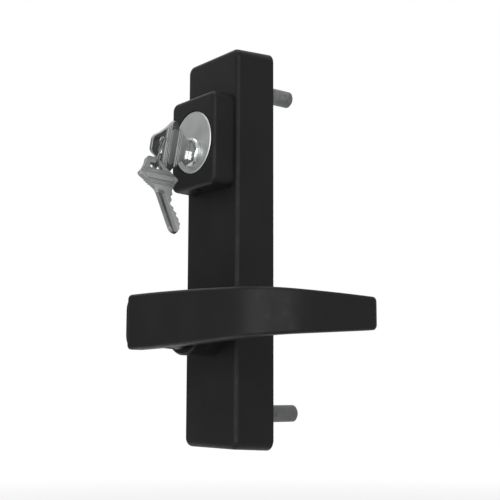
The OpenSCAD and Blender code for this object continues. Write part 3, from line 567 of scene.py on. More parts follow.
# Name, level, warmth, roughness, grain, the grain's size and depth in millimetres, and tarnish
ZINC = Plated("dull_zinc", 0.13, -0.02, 0.5, Grain.TUMBLED, 0.5, 0.008, 0.5)
STEEL = Plated("satin_steel", 0.42, -0.01, 0.36, Grain.ROLLED, 0.12, 0.003, 0.2)
BRASS = Plated("turned_brass", 0.45, 0.3, 0.3, Grain.ROLLED, 0.15, 0.002, 0.3)
BRONZE = Plated("sintered_bronze", 0.3, 0.3, 0.5, Grain.TUMBLED, 0.3, 0.01, 0.5)
SPRING = Plated("oiled_spring_wire", 0.2, 0.0, 0.34, Grain.TUMBLED, 0.3, 0.002, 0.4)
OXIDE = Plated("black_oxide", 0.05, 0.0, 0.42, Grain.TUMBLED, 0.3, 0.004, 0.3)


# Meshes

def smooth_edges(item: bpy.types.Object, angle_deg: float) -> None:
    """Shades round faces smooth and flat faces flat.

    Args:
        item: The object.
        angle_deg: The angle above which an edge stays sharp.
    """
    for face in item.data.polygons:
        face.use_smooth = True
    weld = item.modifiers.new("weld", "WELD")
    weld.merge_threshold = WELD_MM * MM
    split = item.modifiers.new("split", "EDGE_SPLIT")
    split.split_angle = math.radians(angle_deg)
    item.modifiers.new("normals", "WEIGHTED_NORMAL").keep_sharp = True


def dress(item: bpy.types.Object, material: bpy.types.Material) -> None:
    """Gives every face of an object one material.

    Args:
        item: The object.
        material: The material.
    """
    item.data.materials.clear()
    item.data.materials.append(material)


class PaintShop:
    """Makes each finish once."""

    def __init__(self) -> None:
        """Starts with no material."""
        self.made: dict[str, bpy.types.Material] = {}

    def material(self, finish: Finish) -> bpy.types.Material:
        """Gives a finish's material, made at its first use.

        Args:
            finish: The finish.

        Returns:
            The material.
        """
        if finish.name not in self.made:
            self.made[finish.name] = finish.make()
        return self.made[finish.name]


@dataclass
class SubAssembly:
    """What all sub-assemblies share: the paint shop, and the dressing of CAD nodes."""

    shop: PaintShop

    def dress_nodes(self, finishes: dict[str, Finish]) -> None:
        """Shades and dresses CAD nodes.

        Args:
            finishes: The finish of each node.
        """
        for node, finish in finishes.items():
            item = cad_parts[node]
            smooth_edges(item, CAD_SHARP_DEG)
            dress(item, self.shop.material(finish))
            LOG.info("%s: %s in %s", type(self).__name__, node, finish.name)

    def measure(self, node: str, sizes_mm: Point) -> None:
        """Reports how far a node's box is from the sizes that the class holds.

        Args:
            node: The CAD node.
            sizes_mm: Its width, depth and height.
        """
        low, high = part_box(node)
        off = max(abs((b - a) / MM - size) for a, b, size in zip(low, high, sizes_mm))
        LOG.info("%s: %s is within %.2f mm of its stated sizes", type(self).__name__, node, off)


# Pieces made here, with sizes in millimetres

class Axis(Enum):
    """An axis of the shared frame or of a piece's own."""

    X = "X"
    Y = "Y"
    Z = "Z"


def chain(*moves: Matrix) -> Matrix:
    """Multiplies moves into one matrix.

    Args:
        moves: The moves, the outermost first.

    Returns:
        The matrix.
    """
    place = Matrix.Identity(4)
    for move in moves:
        place = place @ move
    return place


def shift(x: float, y: float, z: float) -> Matrix:
    """Returns a shift by millimetres."""
    return Matrix.Translation((x * MM, y * MM, z * MM))


def turn(axis: Axis, degrees: float) -> Matrix:
    """Returns a turn about one axis."""
    return Matrix.Rotation(math.radians(degrees), 4, axis.value)


def rounded(loop: Loop, radius: float, steps: int = 4) -> Loop:
    """Rounds the corners of an outline.

    Args:
        loop: The outline's corners in millimetres.
        radius: The largest radius, which short edges lower.
        steps: The number of chords in each corner.

    Returns:
        The rounded outline.
    """
    out: Loop = []
    for i, corner in enumerate(loop):
        here = Vector(corner)
        back, ahead = Vector(loop[i - 1]) - here, Vector(loop[(i + 1) % len(loop)]) - here
        reach = min(radius, back.length * CORNER_SHARE, ahead.length * CORNER_SHARE)
        start, end = here + back.normalized() * reach, here + ahead.normalized() * reach
        for k in range(steps + 1):
            t = k / steps
            point = start * (1 - t) ** 2 + here * 2 * t * (1 - t) + end * t ** 2
            out.append((point.x, point.y))
    return out


def stadium(y: float, half_y: float, half_z: float, steps: int = 10) -> Loop:
    """Draws an outline with straight sides and round ends.

    Args:
        y: Where its middle stands.
        half_y: Half of its width, and the radius of its ends.
        half_z: Half of its length.
        steps: The number of chords in each end.

    Returns:
        The outline.
    """
    straight = half_z - half_y
    return [(y + half_y * math.cos(a), side * straight + half_y * math.sin(a))
            for side, first in ((1, 0.0), (-1, math.pi))
            for a in (first + math.pi * k / steps for k in range(steps + 1))]


def skin(mesh: bmesh.types.BMesh, rings: Sequence[Sequence[Point]]) -> None:
    """Adds a closed skin over a row of rings.

    Args:
        mesh: What it is added to.
        rings: The rings, each with the same number of points.
    """
    verts = [[mesh.verts.new(point) for point in ring] for ring in rings]
    faces = [mesh.faces.new(verts[0]), mesh.faces.new(verts[-1][::-1])]
    for one, two in zip(verts, verts[1:]):
        for k in range(len(one)):
            j = (k + 1) % len(one)
            faces.append(mesh.faces.new((one[j], one[k], two[k], two[j])))
    bmesh.ops.recalc_face_normals(mesh, faces=faces)


def settle(mesh: bmesh.types.BMesh, name: str) -> bpy.types.Mesh:
    """Ends a mesh that was under construction.

    Args:
        mesh: The mesh, which is used up.
        name: The result's name.

    Returns:
        The result.
    """
    data = bpy.data.meshes.new(name)
    mesh.to_mesh(data)
    mesh.free()
    return data


def prism(section: Loop, span: Span, along: Axis) -> bpy.types.Mesh:
    """Makes a closed bar from a section.

    Args:
        section: The outline, in X and Z for a bar along Y, or in Y and Z for a bar along X.
        span: Where the bar starts and ends.
        along: The bar's axis, Y or X.

    Returns:
        The bar's mesh.
    """
    bar = bmesh.new()
    skin(bar, [[(p, at, q) if along is Axis.Y else (at, p, q) for p, q in section] for at in span])
    return settle(bar, "bar")


class Kept(Enum):
    """What a Boolean keeps of two closed meshes."""

    FIRST_ALONE = "DIFFERENCE"
    SHARED = "INTERSECT"


class Solid:
    """A mesh that is put together from outlines and tubes, in millimetres."""

    def __init__(self) -> None:
        """Starts with nothing."""
        self.mesh = bmesh.new()

    def take(self, data: bpy.types.Curve) -> None:
        """Adds the surface of a curve.

        Args:
            data: The curve, which is used up.
        """
        item = bpy.data.objects.new("draft", data)
        made = bpy.data.meshes.new_from_object(item)
        self.mesh.from_mesh(made)
        bpy.data.objects.remove(item)
        bpy.data.curves.remove(data)
        bpy.data.meshes.remove(made)

    def plate(self, loops: Sequence[Loop], half: float, edge: float) -> None:
        """Adds a flat plate across X with rounded edges.

        Args:
            loops: The outline in Y and Z, and then any holes.
            half: Half of the plate's thickness.
            edge: The radius of its edges.
        """
        data = bpy.data.curves.new("draft", "CURVE")
        data.dimensions, data.fill_mode = "2D", "BOTH"
        data.extrude, data.bevel_depth, data.bevel_resolution = half - edge, edge, EDGE_ROUND
        data.offset = -edge
        for count, loop in enumerate(loops):
            area = sum(a[0] * b[1] - b[0] * a[1] for a, b in zip(loop, loop[1:] + loop[:1]))
            path = loop if (area > 0) == (count == 0) else loop[::-1]
            spline = data.splines.new("POLY")
            spline.points.add(len(path) - 1)
            for point, (a, b) in zip(spline.points, path):
                point.co = (a, b, 0.0, 1.0)
            spline.use_cyclic_u = True
        first = len(self.mesh.verts)
        self.take(data)
        self.mesh.verts.ensure_lookup_table()
        to_key = Matrix(((0, 0, 1, 0), (1, 0, 0, 0), (0, 1, 0, 0), (0, 0, 0, 1)))
        bmesh.ops.transform(self.mesh, matrix=to_key, verts=self.mesh.verts[first:])

    def tube(self, path: Sequence[Point], radius: float) -> None:
        """Adds a round wire.

        Args:
            path: Points along the wire.
            radius: The wire's radius.
        """
        data = bpy.data.curves.new("draft", "CURVE")
        data.dimensions, data.bevel_depth, data.bevel_resolution = "3D", radius, WIRE_ROUND
        data.use_fill_caps = True
        spline = data.splines.new("POLY")
        spline.points.add(len(path) - 1)
        for point, place in zip(spline.points, path):
            point.co = (*place, 1.0)
        self.take(data)

    def wrap(self, points: Sequence[Point]) -> None:
        """Adds the tightest skin around some points.

        Args:
            points: The points.
        """
        hull = bmesh.new()
        for point in points:
            hull.verts.new(point)
        made = bmesh.ops.convex_hull(hull, input=hull.verts)
        bmesh.ops.delete(hull, geom=[g for g in made["geom_interior"] if isinstance(g, bmesh.types.BMVert)],
                         context="VERTS")
        bmesh.ops.recalc_face_normals(hull, faces=hull.faces)
        data = settle(hull, "hull")
        self.mesh.from_mesh(data)
        bpy.data.meshes.remove(data)

    def drill(self, start: Point, end: Point, radius: float) -> None:
        """Drills a round hole.

        Args:
            start: One end of the hole's axis.
            end: The other end.
            radius: The hole's radius.
        """
        near, far = Vector(start), Vector(end)
        axis = far - near
        bit = bmesh.new()
        place = Matrix.Translation((near + far) / 2) @ axis.to_track_quat("Z", "Y").to_matrix().to_4x4()
        bmesh.ops.create_cone(bit, cap_ends=True, segments=DRILL_SIDES, radius1=radius, radius2=radius,
                              depth=axis.length, matrix=place)
        work = settle(self.mesh, "work")
        self.mesh = bmesh.new()
        self.combine(work, settle(bit, "bit"), Kept.FIRST_ALONE)

    def combine(self, first: bpy.types.Mesh, second: bpy.types.Mesh, kept: Kept) -> None:
        """Adds a Boolean result of two closed meshes.

        Args:
            first: One mesh, which is used up.
            second: The other mesh, which is used up.
            kept: What is kept of them.
        """
        items = [bpy.data.objects.new("draft", data) for data in (first, second)]
        for item in items:
            bpy.context.scene.collection.objects.link(item)
        cut = items[0].modifiers.new("cut", "BOOLEAN")
        cut.operation, cut.solver, cut.object = kept.value, "EXACT", items[1]
        cut.use_self = kept is Kept.FIRST_ALONE
        depsgraph = bpy.context.evaluated_depsgraph_get()
        made = bpy.data.meshes.new_from_object(items[0].evaluated_get(depsgraph))
        self.mesh.from_mesh(made)
        for item in items:
            bpy.data.objects.remove(item)
        for data in (first, second, made):
            bpy.data.meshes.remove(data)

    def item(self, name: str, place: Matrix, body: str | None, node: str | None, slot: str,
             material: bpy.types.Material) -> bpy.types.Object:
        """Ends the mesh in an object that rides on a body.

        Args:
            name: The object's name.
            place: Where the mesh's own frame stands.
            body: The body that it rides on, or None for a piece that rides on none.
            node: The CAD node that it replaces, if any.
            slot: Not used.
            material: The finish.

        Returns:
            The object.
        """
        bmesh.ops.scale(self.mesh, vec=(MM, MM, MM), verts=self.mesh.verts)
        item = bpy.data.objects.new(name, settle(self.mesh, name))
        item.matrix_world = place
        bpy.context.scene.collection.objects.link(item)
        dress(item, material)
        smooth_edges(item, MADE_SHARP_DEG)
        if body is not None:
            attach(item, body)
        if node is not None:
            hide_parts(node)
        LOG.info("made %s on %s", name, body or "two bodies")
        return item


@dataclass
class Key:
    """A pin tumbler key: bow with a slot, ribs and a pad, and a bitted blade with a scoop."""

    finish: KeyNickel
    bow_len: float = 19.8
    ear: float = 11.7
    thick: float = 2.0
    corner_r: float = 0.9
    edge_r: float = 0.16
    slot_u: float = 5.4
    slot_half: Span = (1.8, 3.8)
    band_u: float = 11.0
    band_half: float = 4.2
    band_inset: float = 0.45
    band_edge: float = 0.12
    pad_half: Span = (1.6, 8.1)
    pad_gap: float = 0.15
    pad_rise: float = 0.3
    pad_edge: float = 0.24
    rib_at: tuple[float, ...] = (-3.85, -3.05, -2.25, 2.25, 3.05, 3.85)
    rib_half: float = 0.2
    rib_inset: float = 0.1
    rib_rise: float = 0.42
    rib_edge: float = 0.15
    strip_corner: float = 0.5
    blade_len: float = 19.6
    blade_h: float = 7.0
    blade_slack: float = 0.01
    rise: float = 0.9
    root: float = 1.0
    nose_len: float = 2.6
    nose_h: float = 2.9
    tip_flat: float = 3.6
    tip_bevel: float = 1.0
    edge_steps: int = 200
    cuts: tuple[int, ...] = (4, 2, 1, 0, 2)
    cut_shallow: float = 0.4
    cut_step: float = 0.4
    first_cut: float = 5.2
    cut_pitch: float = 2.9
    cut_flat: float = 0.35
    bevel: float = 0.12
    ward_wide: float = 2.2
    ward_deep: float = 0.5
    ward_slope: float = 0.3
    scoop_wide: float = 3.8
    scoop_slope: Loop = field(default_factory=lambda: [(0.3, 0.9), (0.38, 2.0)])
    scoop_foot: float = 0.3
    overrun: float = 1.0

    def heights(self) -> Span:
        """Returns the heights of the blade's top and underside."""
        return self.blade_h / 2 - self.rise, -self.blade_h / 2 - self.rise

    def sides(self) -> Loop:
        """Draws half of the bow's outline.

        Returns:
            Points as (distance from the bow's end, half width).
        """
        return [(0, 2.6), (1, 4.0), (3.7, 5.6), (7.2, 8.6), (9.2, self.ear - 0.7), (10, self.ear),
                (11.2, self.ear - 0.2), (12.2, self.ear - 1.7), (self.bow_len - 2.4, 4.7),
                (self.bow_len, 4.4)]

    def half_width(self, u: float) -> float:
        """Measures the bow.

        Args:
            u: The distance from the bow's end.

        Returns:
            Half of its width there.
        """
        for (u0, w0), (u1, w1) in zip(self.sides(), self.sides()[1:]):
            if u0 <= u <= u1:
                return w0 + (w1 - w0) * (u - u0) / (u1 - u0)
        return self.sides()[-1][1]

    def strip(self, u0: float, u1: float, shrink: float, steps: int = 6) -> Loop:
        """Cuts a strip out of the bow's outline.

        Args:
            u0: The distance from the bow's end at which it starts.
            u1: The distance at which it ends.
            shrink: How far it stays inside the outline.
            steps: The number of chords along its ends.

        Returns:
            The strip's outline.
        """
        at = [u0 + (u1 - u0) * k / steps for k in range(steps + 1)]
        side = [(u - self.bow_len, self.half_width(u) - shrink) for u in at]
        return rounded(side[::-1] + [(y, -w) for y, w in side], self.strip_corner, 3)

    def bow(self, solid: Solid) -> None:
        """Adds the bow with its slot, band, ribs and pad.

        Args:
            solid: The key's mesh.
        """
        half = self.thick / 2
        side = [(u - self.bow_len, w) for u, w in self.sides()]
        outline = rounded(side[::-1] + [(y, -w) for y, w in side], self.corner_r)
        slot = stadium(self.slot_u - self.bow_len, *self.slot_half)
        solid.plate([outline, slot], half, self.edge_r)
        low, high = self.band_u - self.band_half, self.band_u + self.band_half
        lane = self.pad_half[0] + self.pad_gap
        for u0, u1 in ((low, self.band_u - lane), (self.band_u + lane, high)):
            solid.plate([self.strip(u0, u1, self.band_inset)], half + self.rib_rise / 2, self.band_edge)
        for rib in self.rib_at:
            u = self.band_u + rib
            line = self.strip(u - self.rib_half, u + self.rib_half, self.rib_inset, 2)
            solid.plate([line], half + self.rib_rise, self.rib_edge)
        pad = stadium(self.band_u - self.bow_len, *self.pad_half)
        solid.plate([pad], half + self.pad_rise, self.pad_edge)

    def edge(self) -> Loop:
        """Draws the blade's outline with its cuts.

        Returns:
            The outline in Y and Z.
        """
        top, low = self.heights()
        end, start = self.blade_len, self.blade_len - self.tip_bevel
        ramp = low + self.tip_flat + self.tip_bevel
        nose = [(end - self.nose_len + self.nose_len * math.sin(a),
                 low + self.nose_h - self.nose_h * math.cos(a))
                for a in (math.pi / 2 * k / 6 for k in range(7))]
        out = [(-self.root, low), *nose, (end, low + self.tip_flat), (start, ramp)]
        for k in range(1, self.edge_steps):
            y = start - (start + self.root) * k / self.edge_steps
            z = min(top, ramp + (start - y))
            for i, cut in enumerate(self.cuts):
                away = abs(y - self.first_cut - i * self.cut_pitch)
                depth = self.cut_shallow + self.cut_step * cut
                z = min(z, top - depth + max(0.0, away - self.cut_flat))
            out.append((y, z))
        return out + [(-self.root, top)]

    def blade(self, solid: Solid) -> None:
        """Adds the bitted and milled blade.

        Args:
            solid: The key's mesh.
        """
        top, low = self.heights()
        half = self.thick / 2 - self.blade_slack
        ward, wall, step = top - self.ward_wide, low + self.scoop_wide, self.ward_deep - half
        section = [(half - self.bevel, low), (self.bevel - half, low), (-half, low + self.bevel),
                   (-half, ward), (step, ward - self.ward_slope), (step, top), (half, top), (half, wall),
                   *((half - deep, wall - down) for deep, down in self.scoop_slope),
                   (half - self.bevel, low + self.scoop_foot)]
        wide = self.thick + self.overrun
        milled = prism(section, (-self.root, self.blade_len + self.overrun), Axis.Y)
        bitted = prism(self.edge(), (-wide, wide), Axis.X)
        solid.combine(milled, bitted, Kept.SHARED)

    def build(self, name: str, place: Matrix, body: str, node: str, shop: PaintShop) -> None:
        """Builds and dresses the key.

        Args:
            name: The object's name.
            place: Where the key's own frame stands.
            body: The body that it rides on.
            node: The CAD node that it replaces.
            shop: Where its finish is made.
        """
        solid = Solid()
        self.bow(solid)
        self.blade(solid)
        solid.item(name, place, body, node, "satin_nickel", shop.material(self.finish))


@dataclass
class Escutcheon(SubAssembly):
    """The cover on the door, its back plate, and the collar and bush of the lever's hub."""

    width: float = 42.0
    height: float = 183.0
    depth: float = 20.0
    paint: Enamel = PAINT

    def build(self) -> None:
        """Dresses the cover and what is fixed to it."""
        self.measure("escutcheon_cover", (self.width, self.depth, self.height))
        self.dress_nodes({"escutcheon_cover": self.paint, "hub_collar": self.paint, "back_plate": ZINC,
                          "plate_screws": ZINC, "collar_nut": ZINC, "spindle_bush": BRONZE,
                          "thrust_washer": STEEL})


@dataclass
class CylinderBlock(SubAssembly):
    """The block that carries the cylinder, with its screws."""

    width: float = 35.0
    depth: float = 11.0
    height: float = 43.6
    paint: Enamel = PAINT

    def build(self) -> None:
        """Dresses the block and its screws."""
        self.measure("cylinder_block", (self.width, self.depth, self.height))
        self.dress_nodes({"cylinder_block": self.paint, "block_screws": ZINC, "cylinder_set_screw": OXIDE})


@dataclass
class Cylinder(SubAssembly):
    """The pin tumbler cylinder: shell, plug, pins, cam, and a turned lip round the plug's nose."""

    nose_y: float = -33.4
    lip_radius: float = 5.15
    lip_wire: float = 0.28
    lip_sink: float = 0.2
    lip_chords: int = 72
    # The lip's low level and heavy spots are painted dark reflections.
    lip_finish: Plated = Plated("lip_nickel", 0.13, -0.02, 0.13, Grain.TUMBLED, 0.4, 0.002, 0.8,
                                wave_mm=1.3, wave_depth_mm=0.14)

    def face(self) -> Plated:
        """Describes the shell's turned face, centred on its axis.

        Returns:
            The finish.
        """
        low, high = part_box("cylinder_shell")
        return Plated("turned_nickel", 0.535, -0.03, 0.41, Grain.TURNED, 0.10, 0.006, 0.15,
                      tuple((low + high) / 2), 4.0, 0.02)

    def polish(self) -> Plated:
        """Describes the plug's polished nose, centred on its axis; its heavy tarnish spots are painted dark
        reflections.

        Returns:
            The finish.
        """
        low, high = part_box("plug")
        return Plated("polished_nickel", 0.52, -0.01, 0.09, Grain.TURNED, 0.5, 0.001, 0.9,
                      tuple((low + high) / 2), 1.3, 0.14)

    def lip(self) -> None:
        """Turns the lip round the front of the plug."""
        low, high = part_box("plug")
        middle = (low + high) / 2 / MM
        ring = [(self.lip_radius * math.cos(a), 0.0, self.lip_radius * math.sin(a))
                for a in (math.tau * k / self.lip_chords for k in range(self.lip_chords + 1))]
        solid = Solid()
        solid.tube(ring, self.lip_wire)
        place = shift(middle[0], self.nose_y + self.lip_sink, middle[2])
        finish = self.shop.material(self.lip_finish)
        solid.item("plug_lip", place, "turning_plug", None, "polished_nickel", finish)

    def build(self) -> None:
        """Dresses the cylinder's nodes and adds the lip."""
        self.dress_nodes({"cylinder_shell": self.face(), "plug": self.polish(), "chamber_cover": BRASS,
                          "driver_pins": BRASS, "key_pins": BRASS, "pin_springs": SPRING, "plug_cam": STEEL,
                          "cam_screws": ZINC})
        self.lip()


@dataclass
class KeySet(SubAssembly):
    """The inserted key, the spare key and the split ring that joins them."""

    plug_axis_z: float = 41.85
    nose_y: float = -33.4
    key_turn: float = 15.0
    bow_axis: float = 0.9
    hook: Point = (0.84116, -47.8, 44.98926)
    ring_turn: tuple[float, float, float] = (-24.0, -14.6, -11.4)
    ring_radius: float = 7.1
    ring_wire: float = 0.40
    ring_gap: float = 0.02
    ring_ends: tuple[int, int] = (30, 690)
    ring_chord: int = 4
    ring_cross: float = 22.0
    spare_yaw: float = 12.0
    spare_lean: float = -25.0
    # The two keys share one nickel in tones that paint light. On the carried key the darker face, near-black
    # head, darker pad and channel are painted shade and reflection, the lighter sides painted light, and the
    # near-white scoop a painted highlight. On the spare the darker sides, channel and scoop are painted
    # shade.
    carried: Key = field(default_factory=lambda: Key(KeyNickel(
        "carried_key_nickel", face=0.22, head_reflection=0.05, side=0.36, channel_shade=0.06, pad=0.15, scoop=0.98,
        scoop_wall=0.98)))
    spare: Key = field(default_factory=lambda: Key(KeyNickel(
        "spare_key_nickel", face=0.44, head_reflection=0.44, side=0.22, channel_shade=0.38, pad=0.42, scoop=0.23,
        scoop_wall=0.24, roughness=0.44), rib_rise=0.34))
    ring_finish: Plated = Plated("ring_wire", 0.17, -0.02, 0.34, Grain.TUMBLED, 0.3, 0.001, 0.35)

    def hang(self) -> Matrix:
        """Returns the frame of the ring's highest point."""
        yaw, tilt, lean = self.ring_turn
        return chain(shift(*self.hook), turn(Axis.Z, yaw), turn(Axis.X, tilt), turn(Axis.Y, lean))

    def ring(self) -> None:
        """Winds two turns of wire that cross over once."""
        path: list[Point] = []
        first, last = self.ring_ends
        for degrees in range(first, last + 1, self.ring_chord):
            a = math.radians(degrees)
            side = (-1 if degrees < 360 else 1) * min(1.0, abs(degrees - 360) / self.ring_cross)
            path.append((self.ring_radius * math.cos(a), side * (self.ring_wire + self.ring_gap),
                         self.ring_radius * math.sin(a)))
        solid = Solid()
        solid.tube(path, self.ring_wire)
        solid.item("split_ring_coil", self.hang() @ shift(0, 0, -self.ring_radius), "ring", "split_ring",
                   "polished_nickel", self.shop.material(self.ring_finish))

    def build(self) -> None:
        """Builds the three pieces."""
        yaw, tilt, lean = self.ring_turn
        in_plug = chain(shift(0, 0, self.plug_axis_z), turn(Axis.Y, self.key_turn),
                        shift(0, self.nose_y, self.bow_axis))
        self.carried.build("inserted_key_made", in_plug, "turning_plug", "inserted_key", self.shop)
        upright = chain(self.hang(), shift(0, 0, -2 * self.ring_radius), turn(Axis.Y, -lean),
                        turn(Axis.X, -tilt))
        on_ring = chain(upright, turn(Axis.Z, self.spare_yaw - yaw), turn(Axis.Y, self.spare_lean),
                        turn(Axis.X, -90), shift(0, self.spare.bow_len - self.spare.slot_u, 0))
        self.spare.build("spare_key_made", on_ring, "spare", "spare_key", self.shop)
        self.ring()


@dataclass
class Lever(SubAssembly):
    """The lever, with its soft bend, and what turns with it."""

    front_y: float = -55.5
    back: float = 17.0
    bar: float = 71.0
    corner_r: float = 13.0
    bend_deg: float = 66.0
    bend_len: float = 36.0
    leg: float = 42.0
    curl: float = 0.35
    hub_size: Span = (9.0, 24.5)
    tip_size: Span = (7.5, 12.8)
    taper: float = 1.6
    edges: Span = (1.3, 2.4)
    rounds: Span = (5.4, 2.0)
    round_deep: float = 1.6
    bend_steps: int = 400
    round_steps: int = 6
    long_steps: int = 60
    corner_steps: int = 5
    walk: float = 0.25
    neck_r: float = 12.0
    neck_y: float = -36.5
    neck_rim: float = 1.5
    neck_foot: Span = (2.0, 8.0)
    neck_inset: float = 1.0
    neck_sides: Span = (0.8, 3.6)
    neck_half_h: float = 10.2
    neck_chords: int = 72
    overrun: float = 1.0
    spigot: Span = (7.02, -50.05)
    set_screw: Span = (2.52, -42.0)
    set_screw_hole: Span = (-20.0, -2.0)
    spring_r: float = 9.4
    spring_wire: float = 0.68
    spring_y: float = -6.75
    spring_turns: float = 2.25
    spring_pitch: float = 1.46
    spring_chords: int = 24
    spring_leg: float = 5.6
    tang_a: float = 98.0
    tang_bend: Loop = field(default_factory=lambda: [(0, 1.6), (0, 0.85), (1.5, 0.35), (6, 0.06)])
    paint: Enamel = Enamel("lever_black_enamel", 0.0092, 0.42, 0.12, grip_mm=(62.0, 100.0))

    def heading(self, s: float, start: float, over: float) -> float:
        """Gives the direction of the lever's front face.

        Args:
            s: The distance along the lever.
            start: Where the bend starts.
            over: Where the leg's own curl starts.

        Returns:
            The direction in radians from +X towards +Y.
        """
        t = min(1.0, max(0.0, (s - start) / self.bend_len))
        soft = t * t * (3 - 2 * t)
        return math.radians(self.bend_deg * soft + self.curl * max(0.0, s - over))

    def extent(self) -> tuple[float, float, float]:
        """Fits the soft bend to the reach of a plain arc between bar and leg.

        Returns:
            Where the bend starts, where the leg starts, and the lever's whole length.
        """
        reach, rise, step = 0.0, 0.0, self.bend_len / self.bend_steps
        for k in range(self.bend_steps):
            a = self.heading((k + 0.5) * step, 0.0, math.inf)
            reach, rise = reach + step * math.cos(a), rise + step * math.sin(a)
        angle = math.radians(self.bend_deg)
        soft = reach - rise / math.tan(angle)
        sharp = self.corner_r * math.tan(angle / 2)
        start = self.back + self.bar + sharp - soft
        over = self.back + self.bar + self.bend_len - 2 * soft + 2 * sharp
        return start, over, over + self.leg

    def path(self) -> list[tuple[float, float, float, float]]:
        """Follows the lever's front face.

        Returns:
            The stations as (distance, X, Y, direction).
        """
        start, over, total = self.extent()
        near, far = self.rounds
        turns = [math.pi / 2 * k / self.round_steps for k in range(self.round_steps + 1)]
        marks = [near * (1 - math.cos(a)) for a in turns]
        marks += [near + (total - near - far) * k / self.long_steps for k in range(1, self.long_steps)]
        marks += [total - far + far * math.sin(a) for a in turns]
        out: list[tuple[float, float, float, float]] = []
        x, y, s = -self.back, 0.0, 0.0
        for mark in marks:
            while s < mark - TINY:
                ds = min(self.walk, mark - s)
                a = self.heading(s + ds / 2, start, over)
                x, y, s = x + ds * math.cos(a), y + ds * math.sin(a), s + ds
            out.append((s, x, y, self.heading(s, start, over)))
        return out

    def round_off(self, s: float, total: float) -> float:
        """Gives how much the rounded ends take away.

        Args:
            s: The distance along the lever.
            total: The lever's whole length.

        Returns:
            The cut on each side.
        """
        near, far = self.rounds
        return sum(r - math.sqrt(max(0.0, r * r - (r - d) ** 2)) for r, d in ((near, s), (far, total - s))
                   if d < r)

    def rings(self) -> list[list[Point]]:
        """Draws the lever's sections, about the lever's axis.

        Returns:
            One ring of points for each station.
        """
        stations = self.path()
        total = stations[-1][0]
        front, rear = self.edges
        rings: list[list[Point]] = []
        for s, x, y, a in stations:
            cut, t = self.round_off(s, total), s / total
            inset = min(cut, self.round_deep)
            wide = self.hub_size[0] + (self.tip_size[0] - self.hub_size[0]) * t
            high = self.hub_size[1] + (self.tip_size[1] - self.hub_size[1]) * t ** self.taper
            depth, half = wide - 2 * inset, high / 2 - cut
            corners = ((front, front - half, front, 180), (depth - rear, rear - half, rear, 270),
                       (depth - rear, half - rear, rear, 0), (front, half - front, front, 90))
            ring: list[Point] = []
            for u, z, r, first in corners:
                for k in range(self.corner_steps + 1):
                    b = math.radians(first + 90 * k / self.corner_steps)
                    e = u + r * math.cos(b) + inset
                    ring.append((x - e * math.sin(a), self.front_y + y + e * math.cos(a),
                                 z + r * math.sin(b)))
            rings.append(ring)
        return rings

    def neck(self) -> list[Point]:
        """Lays out the neck between the collar and the bar.

        Returns:
            The points of its skin.
        """
        points: list[Point] = []
        right, left = self.neck_sides
        for k in range(self.neck_chords):
            a = math.tau * k / self.neck_chords
            c, n = math.cos(a), math.sin(a)
            side = self.back - (right if c > 0 else left)
            reach = min(self.back - self.neck_inset, side / max(TINY, abs(c)),
                        self.neck_half_h / max(TINY, abs(n)))
            points += [(self.neck_r * c, self.neck_y - rim, self.neck_r * n) for rim in (0.0, self.neck_rim)]
            points += [(reach * c, self.front_y + foot, reach * n) for foot in self.neck_foot]
        return points

    def handle(self) -> None:
        """Builds the lever."""
        solid = Solid()
        skin(solid.mesh, self.rings())
        solid.wrap(self.neck())
        radius, end = self.spigot
        solid.drill((0, self.neck_y + self.overrun, 0), (0, end, 0), radius)
        radius, y = self.set_screw
        low, high = self.set_screw_hole
        solid.drill((0, y, low), (0, y, high), radius)
        low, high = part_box("lever_handle")
        solid.item("lever_made", shift(0, 0, (low[2] + high[2]) / 2 / MM), "lever", "lever_handle",
                   "black_lever", self.shop.material(self.paint))

    def spring(self) -> None:
        """Winds the return spring, with its tang and its leg."""
        tang = [(self.tang_a - turned, self.spring_y + rise) for turned, rise in self.tang_bend]
        chord = 360 / self.spring_chords
        coil = [(90 - chord * k, self.spring_y - k * self.spring_pitch / self.spring_chords)
                for k in range(1, round(self.spring_turns * self.spring_chords) + 1)]
        path: list[Point] = []
        for degrees, y in tang + coil:
            a = math.radians(degrees)
            path.append((self.spring_r * math.cos(a), y, self.spring_r * math.sin(a)))
        x, y, z = path[-1]
        path += [(x, y, z - self.spring_leg * k) for k in (1, 2, 3)]
        low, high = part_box("lever_handle")
        middle = (low[2] + high[2]) / 2
        solid = Solid()
        solid.tube(path, self.spring_wire)
        item = solid.item("return_spring_coil", shift(0, 0, middle / MM), None, "return_spring",
                          "spring_steel", self.shop.material(SPRING))
        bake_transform(item)

    def build(self) -> None:
        """Builds the lever and its spring, and dresses what turns with it."""
        self.handle()
        self.dress_nodes({"lever_spindle": STEEL, "lever_set_screw": OXIDE, "retaining_ring": OXIDE,
                          "drive_pinion": STEEL})
        self.spring()


@dataclass
class Slides(SubAssembly):
    """The lift slide and the key slide behind the cover, with their guide pins."""

    def build(self) -> None:
        """Dresses the slides."""
        self.dress_nodes({"lift_slide": STEEL, "drive_lug": STEEL, "lock_slide": ZINC, "guide_pins": STEEL})


@dataclass
class Posts(SubAssembly):
    """The two tapped posts that pass through the door."""

    length: float = 25.0
    shade_from: float = 0.5
    casting: Plated = Plated("cast_zinc", 0.185, -0.025, 0.5, Grain.TUMBLED, 0.9, 0.05, 2.0)
    # Painted shade: the lower post is a darker copy of the same zinc.
    lower_shade_level: float = 0.145

    def build(self) -> None:
        """Dresses the posts; the lower one is a darker copy of the zinc, painted shade, and darker still
        towards its end, also painted shade.
        """
        shaded_end = (self.length * self.shade_from, self.length)
        lower = replace(self.casting, name="cast_zinc_lower_shaded", level=self.lower_shade_level, shaded_end_mm=shaded_end)
        self.dress_nodes({"upper_post": self.casting, "lower_post": lower})


# Camera, lamps and room, with sizes in metres

